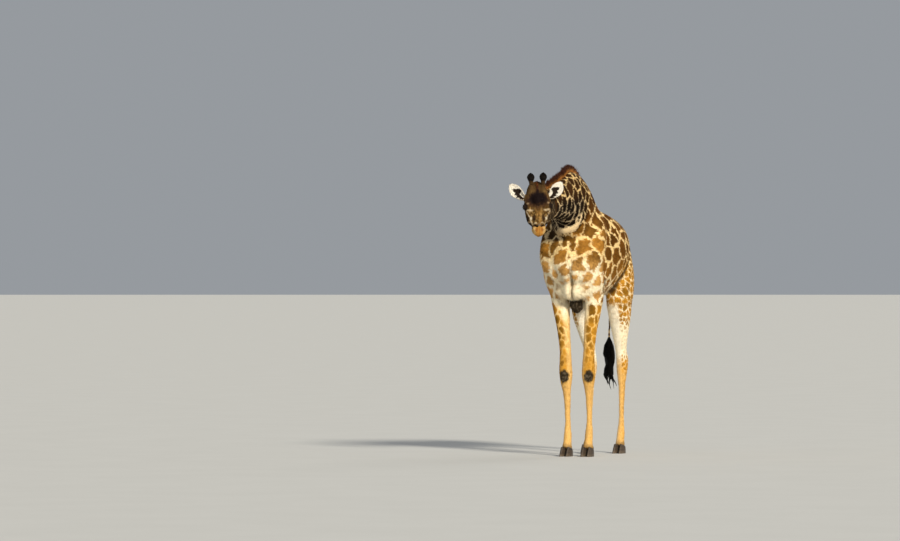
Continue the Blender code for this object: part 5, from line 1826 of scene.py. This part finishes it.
@dataclass
class TailBrush:
    """The long black wavy hair at the tail's end, which parts into pointed locks below."""

    finish: LockFinish = LockFinish(
        "tail_hair", root=(0.006, 0.005, 0.004), tip=(0.004, 0.0035, 0.003), roughness=0.42
    )
    count: int = 1500
    rings: int = 11
    width: float = 0.0042
    stations: tuple[tuple[float, float, float, float], ...] = (
        (-0.036, 1.43, 0.69, 0.012), (-0.07, 1.434, 0.78, 0.05), (-0.086, 1.436, 0.86, 0.053),
        (-0.064, 1.44, 0.975, 0.04), (-0.078, 1.445, 1.08, 0.065), (-0.077, 1.445, 1.19, 0.058),
        (-0.075, 1.445, 1.255, 0.04), (-0.075, 1.445, 1.295, 0.018),
    )
    points_below: tuple[tuple[float, float, float], ...] = (
        (0.0, 0.0, 0.69), (0.04, 0.01, 0.7), (-0.034, -0.012, 0.745), (0.024, 0.022, 0.77),
        (0.066, -0.01, 0.725), (-0.014, -0.026, 0.705),
    )

    def build(self) -> None:
        """Makes the hidden core and the hair round it."""
        rng = np.random.default_rng(37)
        material = self.finish.material()
        core = rounded_copy("tail_brush", voxel=0.006, inset=0.014, smoothing=2)
        core.points[:, 2] = np.maximum(core.points[:, 2], 0.86)
        mesh = core.mesh("tail_core")
        store_along(mesh, np.full(len(core.points), 0.4))
        finish_piece("tail_core", mesh, material, ("tail_brush",))
        self._hair(rng, material)

    def _hair(self, rng: Chance, material: Material) -> None:
        """Hangs the strands from the tail's end, drawn together towards the tips of the locks."""
        count = self.count
        line = np.array(self.stations)
        lock = rng.integers(0, len(self.points_below), count)
        ends = np.array(self.points_below)[lock]
        start = rng.uniform(0.98, 1.285, count)
        start = np.where(rng.random(count) < 0.45, rng.uniform(1.22, 1.285, count), start)
        stop = ends[:, 2] + np.abs(rng.normal(0, 0.045, count))
        steps = np.linspace(0, 1, self.rings + 1)[None, :]
        z = start[:, None] + (stop - start)[:, None] * steps
        angle = np.arctan2(ends[:, 1], ends[:, 0]) + rng.normal(0, 0.75, count)
        spread = np.sqrt(rng.random(count)) * 0.96
        radius = np.interp(z, line[:, 2], line[:, 3]) * spread[:, None]
        radius *= np.clip(0.35 + 4.5 * steps, 0, 1)
        centre_x = np.interp(z, line[:, 2], line[:, 0])
        centre_y = np.interp(z, line[:, 2], line[:, 1])
        own_x = radius * np.cos(angle)[:, None]
        own_y = radius * np.sin(angle)[:, None]
        drawn = smoothstep(0.94, 0.76, z) * 0.9
        wave = np.sin(z * 24.0 + lock[:, None] * 0.6) * 0.011 * smoothstep(1.22, 1.0, z)
        own = np.sin(z * 47.0 + rng.uniform(0, 6.3, (count, 1))) * 0.0016
        x = centre_x + own_x + (ends[:, 0:1] - own_x) * drawn + wave + own
        y = centre_y + own_y * 0.85 + (ends[:, 1:2] - own_y * 0.85) * drawn + wave * 0.6
        lines = np.stack((x, y, z), axis=2) + np.array(OFFSET)
        outward = np.stack((np.cos(angle), np.sin(angle), np.zeros(count)), axis=1)
        widths = self.width * rng.uniform(0.6, 1.3, count)
        locks = Locks(lines, outward, widths, 0.5, (0.8, 1.0, 1.0, 0.8, 0.0))
        mesh = locks.mesh("tail_hair")
        around = (angle / (2 * math.pi)) % 1.0 * 0.96 + 0.02
        places = np.stack((around, (start - 0.9) / 0.4 * 0.9 + 0.05), axis=1)
        locks.unwrap(mesh, np.clip(places, 0.01, 0.99))
        finish_piece("tail_hair", mesh, material)


@dataclass
class Horns:
    """The hair that caps each horn, black above and brown below, brushed up to a point."""

    black: Colour = (0.008, 0.006, 0.005)
    brown: Colour = (0.062, 0.034, 0.014)
    black_length: float = 0.084
    shape_shares: tuple[float, ...] = (0.44, 0.55, 0.66, 0.78, 0.9, 1.0)
    shape_widths: tuple[float, ...] = (0.84, 0.82, 1.02, 1.1, 1.06, 0.95)
    count: int = 1700
    length: float = 0.013
    width: float = 0.0034

    def build(self) -> None:
        """Makes both caps and their hair."""
        material = CoatFinish("horn_hair", 0.6, tip_glow=0.06).material()
        for word, side in SIDES.items():
            rng = np.random.default_rng(41 + int(side))
            core = rounded_copy(f"ossicone_{word}", voxel=0.0035, inset=0.002, smoothing=2)
            self._shape(core, side)
            mesh = core.mesh(f"horn_{word}")
            store_along(mesh, np.full(len(core.points), 0.3))
            self._paint(core.points, side).write(mesh)
            finish_piece(f"horn_{word}", mesh, material, (f"ossicone_{word}",))
            self._hair(word, side, mesh, rng, material)

    def _shape(self, core: Surface, side: float) -> None:
        """Rounds the bulb at the top and slims the shaft below it."""
        base = np.array(from_head(sided(OSSICONE_BASE, side)))
        rise = np.array(from_head(sided(OSSICONE_TIP, side))) - base
        length = np.linalg.norm(rise)
        rise /= length
        share = (core.points - base) @ rise / length
        centre = base + rise * (share * length)[:, None]
        wide = np.interp(share, self.shape_shares, self.shape_widths)
        lowered = share - 0.1 * np.maximum(share - 0.72, 0)
        swollen = core.points + (core.points - centre) * (wide - 1)[:, None]
        core.points = swollen + rise * ((lowered - share) * length)[:, None]

    def _paint(self, points: Array, side: float) -> Paint:
        """Black from the tip down to a ragged edge, and brown below it."""
        tip, rise = horn_axis(side)
        height = (points - tip) @ rise + self.black_length + 0.01 * ripple(points, 70.0)
        count = len(points)
        colours = np.tile(np.asarray(self.brown), (count, 1))
        colours = mixed(colours, smoothstep(-0.008, 0.006, height), self.black)
        return Paint(np.full(count, NO_PATCH), np.full(count, 0.002), colours, colours)

    def _hair(self, word: str, side: float, mesh: Mesh, rng: Chance, material: Material) -> None:
        """Brushes the hair of one horn up towards its tip."""
        places, normals = scattered(mesh, self.count, rng)
        tip, rise = horn_axis(side)
        share = smoothstep(-0.1, 0.0, (places - tip) @ rise)
        inward = unit(tip + rise * 0.02 - places)
        heading = rise * 0.75 + normals * (0.4 - 0.32 * share)[:, None] + inward * (0.9 * share)[:, None]
        heading = unit(heading + rng.normal(0, 0.1, places.shape))
        length = self.length * (0.8 + 0.15 * share) * rng.uniform(0.7, 1.2, self.count)
        lines = bent_lines(places - normals * 0.001, heading, rise * 0.25 - normals * 0.3, length, 4)
        widths = self.width * rng.uniform(0.7, 1.3, self.count)
        locks = Locks(lines, normals, widths, 0.45, (1.0, 0.9, 0.65, 0.0))
        hair = locks.mesh(f"horn_hair_{word}")
        self._paint(places, side).write(hair, locks.points_each)
        around = turned(normals[:, 1], normals[:, 0])
        along = ((places - tip) @ rise + 0.12) / 0.13
        locks.unwrap(hair, np.clip(np.stack((around, along), axis=1), 0.01, 0.99))
        finish_piece(f"horn_hair_{word}", hair, material)


@dataclass
class Eyes:
    """Dark glossy eyes with a clear cornea, dark lid rims and long lashes."""

    skin: Skin
    radius: float = 0.026
    cornea: float = 0.0012
    rim: float = 0.0019
    lashes: int = 64
    lash_length: float = 0.027

    def build(self) -> None:
        """Makes both eyes."""
        rim = PlainFinish(
            "lid_rim", light=(0.016, 0.011, 0.008), dark=(0.008, 0.005, 0.004), roughness=0.6,
            scale=300.0, relief=0.0003, specular=0.1,
        ).material()
        hair = LockFinish("lash_hair", (0.01, 0.007, 0.006), (0.006, 0.005, 0.004)).material()
        for (word, side), centre in zip(SIDES.items(), self.skin.eye_centres()):
            axes = self.skin.eye_axes(side)
            self._ball(word, centre, axes)
            self._rim(word, centre, axes, rim)
            self._lashes(word, centre, axes, hair)

    def _ball(self, word: str, centre: Vector, axes: tuple[Array, ...]) -> None:
        """The eyeball, with the cornea standing out a little."""
        outward, along, _ = (Vector(axis) for axis in axes)
        bm = bmesh.new()
        bmesh.ops.create_uvsphere(bm, u_segments=56, v_segments=32, radius=self.radius)
        turn = outward.to_track_quat("Z", "Y").to_matrix().to_4x4()
        bmesh.ops.transform(bm, matrix=Matrix.Translation(centre) @ turn, verts=bm.verts)
        for vert in bm.verts:
            heading = (vert.co - centre).normalized()
            vert.co += heading * self.cornea * max(0.0, (heading.dot(outward) - 0.7) / 0.3) ** 0.5
        mesh = bpy.data.meshes.new(f"eyeball_{word}")
        bm.to_mesh(mesh)
        bm.free()
        mesh.shade_smooth()
        finish = EyeFinish(f"eye_{word}_wet", tuple(centre), tuple(outward), tuple(along), self.radius)
        finish_piece(f"eyeball_{word}", mesh, finish.material(), (f"eye_{word}",))

    def _edge(self, turn: float, axes: tuple[Array, ...]) -> Vector:
        """The way from the eye's centre to its lids' edge, `turn` round the almond."""
        outward, along, across = (Vector(axis) for axis in axes)
        a = self.skin.opening_length * math.cos(turn)
        b = self.skin.opening_height * math.sin(turn)
        return (along * a + across * b + outward * math.sqrt(max(0.04, 1 - a * a - b * b))).normalized()

    def _rim(self, word: str, centre: Vector, axes: tuple[Array, ...], material: Material) -> None:
        """The dark wet edge of the lids: a thin ring bent round the almond."""
        bm = bmesh.new()
        thickness = 0.2
        bmesh.ops.create_circle(bm, segments=8, radius=thickness)
        upright = Matrix.Translation((1, 0, 0)) @ Matrix.Rotation(math.pi / 2, 4, "X")
        bmesh.ops.transform(bm, matrix=upright, verts=bm.verts)
        bmesh.ops.spin(
            bm, geom=[*bm.verts, *bm.edges], axis=(0, 0, 1), angle=2 * math.pi, steps=72, use_merge=True
        )
        bmesh.ops.remove_doubles(bm, verts=bm.verts, dist=1e-5)
        bmesh.ops.recalc_face_normals(bm, faces=bm.faces)
        outward = Vector(axes[0])
        for vert in bm.verts:
            turn = math.atan2(vert.co.y, vert.co.x)
            sideways = (math.hypot(vert.co.x, vert.co.y) - 1) / thickness * self.rim
            edge = self._edge(turn, axes)
            away = (edge - outward * edge.dot(outward)).normalized()
            depth = vert.co.z / thickness * self.rim
            vert.co = centre + edge * (self.radius + self.cornea + depth) + away * sideways
        mesh = bpy.data.meshes.new(f"lid_rim_{word}")
        bm.to_mesh(mesh)
        bm.free()
        mesh.shade_smooth()
        finish_piece(f"lid_rim_{word}", mesh, material)

    def _lashes(self, word: str, centre: Vector, axes: tuple[Array, ...], material: Material) -> None:
        """Long dark lashes along the upper lid, and short ones below."""
        rng = np.random.default_rng(53)
        outward, _, across = (Vector(axis) for axis in axes)
        lines, sides = [], []
        for k in range(self.lashes):
            upper = k % 4 != 3
            turn = math.radians(rng.uniform(18, 162)) * (1 if upper else -1)
            edge = self._edge(turn, axes)
            root = centre + edge * (self.radius + 0.0022)
            length = self.lash_length * rng.uniform(0.75, 1.1) * (1 if upper else 0.45)
            lift = across * (0.25 if upper else -0.35)
            heading = (edge * 0.6 + outward * 0.55 + lift).normalized()
            heading += Vector(rng.normal(0, 0.1, 3))
            droop = Vector((0, 0, -0.38 if upper else 0.0))
            lines.append([root + (heading * t + droop * t * t) * length for t in (0, 0.25, 0.5, 0.75, 1.0)])
            sides.append(heading.cross(Vector((0, 0, 1))).cross(heading))
        lines = np.array([[list(point) for point in line] for line in lines])
        locks = Locks(lines, unit(np.array([list(way) for way in sides])), np.full(len(lines), 0.0011), 0.6,
                      (1.0, 0.9, 0.7, 0.4, 0.0))
        mesh = locks.mesh(f"lashes_{word}")
        locks.unwrap(mesh, rng.uniform(0.05, 0.95, (len(lines), 2)))
        finish_piece(f"lashes_{word}", mesh, material)


@dataclass
class EarHair:
    """Long pale hair inside each ear and a fringe along its rim."""

    skin: Skin
    markings: Markings
    finish: CoatFinish
    count: int = 2600
    width: float = 0.0022

    def build(self) -> None:
        """Makes the hair of both ears as one piece."""
        rng = np.random.default_rng(61)
        area = self.skin.surface.areas()
        area *= self.skin.share(Region.EAR)[self.skin.surface.triangles].min(axis=1) > 0.6
        chosen = rng.choice(len(area), self.count, p=area / area.sum())
        spots = self.skin.roots(chosen, rng.dirichlet((1, 1, 1), self.count)[:, :, None])
        head = in_head(spots.points)
        side = np.sign(head[:, 0])
        opening = unit(np.array([HEAD_TURN @ sided(EAR_OPENING, s) for s in side]))
        inner = np.sum(spots.normals * opening, axis=1)
        fringe = np.exp(-(inner / 0.45) ** 2)
        across = spots.normals - opening * inner[:, None]
        length = np.where(inner > 0.2, 0.014, 0.006) + 0.01 * fringe
        length *= rng.uniform(0.7, 1.25, self.count)
        heading = spots.flow + spots.normals * 0.22 + across * fringe[:, None] * 0.5
        heading = unit(heading + rng.normal(0, 0.12, heading.shape))
        lines = bent_lines(spots.points, heading, np.zeros_like(heading), length, 3)
        widths = self.width * rng.uniform(0.6, 1.2, self.count)
        locks = Locks(lines, spots.normals, widths, 0.4, (1.0, 0.8, 0.0))
        mesh = locks.mesh("ear_hair")
        root = np.array([np.array(sided(EAR_ROOT, s)) for s in side])
        axis = unit(np.array([np.array(sided(EAR_AXIS, s)) for s in side]))
        share = np.sum((head - root) * axis, axis=1) / EAR_LENGTH
        off = np.sum((head - root) * np.cross(axis, opening @ TURN), axis=1)
        u = 0.03 + 0.94 * np.clip(share, 0, 1)
        v = 0.25 + 0.5 * (side > 0) + 1.2 * np.clip(off, -0.09, 0.09)
        locks.unwrap(mesh, np.stack((u, v), axis=1))
        self.markings.paint(spots).write(mesh, locks.points_each)
        finish_piece("ear_hair", mesh, self.finish.material())


@dataclass
class Hooves:
    """Eight dark claws with rings of growth, each smooth and rounded over its CAD solid."""

    finish: HornFinish = HornFinish()
    voxel: float = 0.0042
    ring_height: float = 0.0009
    ring_gap: float = 0.011
    sole: float = 0.005

    def build(self) -> None:
        """Makes every claw."""
        material = self.finish.material()
        for node in sorted(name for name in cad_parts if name.startswith("hoof_")):
            surface = rounded_copy(node, self.voxel, inset=0.0, smoothing=3)
            points = surface.points
            height = points[:, 2].copy()
            rings = np.sin(height * 2 * math.pi / self.ring_gap + 1.5 * ripple(points, 30.0))
            flank = smoothstep(self.sole, 0.02, height) * smoothstep(0.125, 0.09, height)
            surface.points = points + surface.normals() * (self.ring_height * rings * flank)[:, None]
            low = surface.points[:, 2] < self.sole
            surface.points[low, 2] = 0.0
            name = node.replace("hoof_", "claw_")
            finish_piece(name, surface.mesh(name), material, (node,))


@dataclass
class Studio:
    """A pale floor, soft lights and the camera in front, a little to the animal's left."""

    camera_place: Point = (16.3796, -51.857, 1.86)
    camera_turn: Point = (90.166, 0.0, 19.0)
    lens: float = 200.0
    floor_radius: float = 900.0

    def build(self) -> None:
        """Sets up the floor, the lights and the camera."""
        self._floor()
        self._light("key", (0.66, -0.74, 0.5), 8.0, 4.5, (1.0, 0.945, 0.82))
        self._light("fill", (-0.7, -0.62, 0.35), 40.0, 0.08, (0.92, 0.96, 1.0))
        self._light("rim", (0.25, 0.9, 0.75), 30.0, 0.5, (1.0, 0.98, 0.95))
        self._sky()
        self._camera()

    def _floor(self) -> None:
        """A wide round pale floor."""
        bm = bmesh.new()
        bmesh.ops.create_circle(bm, cap_ends=True, segments=96, radius=self.floor_radius)
        mesh = bpy.data.meshes.new("floor")
        bm.to_mesh(mesh)
        bm.free()
        floor = new_object("floor", mesh)
        finish = PlainFinish(
            "floor_pale", light=(0.54, 0.535, 0.515), dark=(0.525, 0.52, 0.5), roughness=0.85,
            scale=1.2, relief=0.0,
        )
        mesh.materials.append(finish.material())

    def _light(self, name: str, toward: Point, spread: float, power: float, colour: Colour) -> None:
        """A broad far light, even over animal and floor.

        Args:
            name: The lamp's name.
            toward: The way from the animal to the light.
            spread: The light's width in degrees; a broad one has soft shadows.
            power: Its strength.
            colour: Its tint.
        """
        data = bpy.data.lights.new(name, "SUN")
        data.angle = math.radians(spread)
        data.energy = power
        data.color = colour
        lamp = bpy.data.objects.new(name, data)
        lamp.location = Vector(toward) * 6.0
        lamp.rotation_euler = (-Vector(toward)).to_track_quat("-Z", "Y").to_euler()
        bpy.context.scene.collection.objects.link(lamp)

    def _sky(self) -> None:
        """An even pale surround."""
        world = bpy.data.worlds.new("surround")
        world.use_nodes = True
        back = world.node_tree.nodes["Background"]
        back.inputs["Color"].default_value = (0.87, 0.925, 0.99, 1.0)
        back.inputs["Strength"].default_value = 0.35
        bpy.context.scene.world = world
        bpy.context.scene.view_settings.view_transform = "Standard"

    def _camera(self) -> None:
        """The camera, far off with a long lens, at a standing person's height."""
        data = bpy.data.cameras.new("camera")
        data.lens = self.lens
        data.sensor_width = 36.0
        data.clip_end = 1500.0
        camera = bpy.data.objects.new("camera", data)
        camera.location = self.camera_place
        camera.rotation_euler = [math.radians(angle) for angle in self.camera_turn]
        bpy.context.scene.collection.objects.link(camera)
        bpy.context.scene.camera = camera


def main() -> None:
    """Builds and dresses the giraffe, piece by piece."""
    noise.seed_set(NOISE_SEED)
    skin = Skin().build()
    markings = Markings(skin).plant()
    mesh = skin.surface.mesh("skin")
    markings.paint(skin.spots()).write(mesh)
    finish_piece("skin", mesh, CoatFinish("skin_coat").material(), FLESH)
    Coat(skin, markings, CoatFinish("hair_coat", tip_glow=0.1)).build()
    EarHair(skin, markings, CoatFinish("ear_coat", tip_glow=0.06)).build()
    Mane(skin).build()
    TailBrush().build()
    Horns().build()
    Eyes(skin).build()
    Hooves().build()
    Studio().build()


if __name__ == "__main__":
    logging.basicConfig(level=logging.INFO, format="%(message)s")
    main()
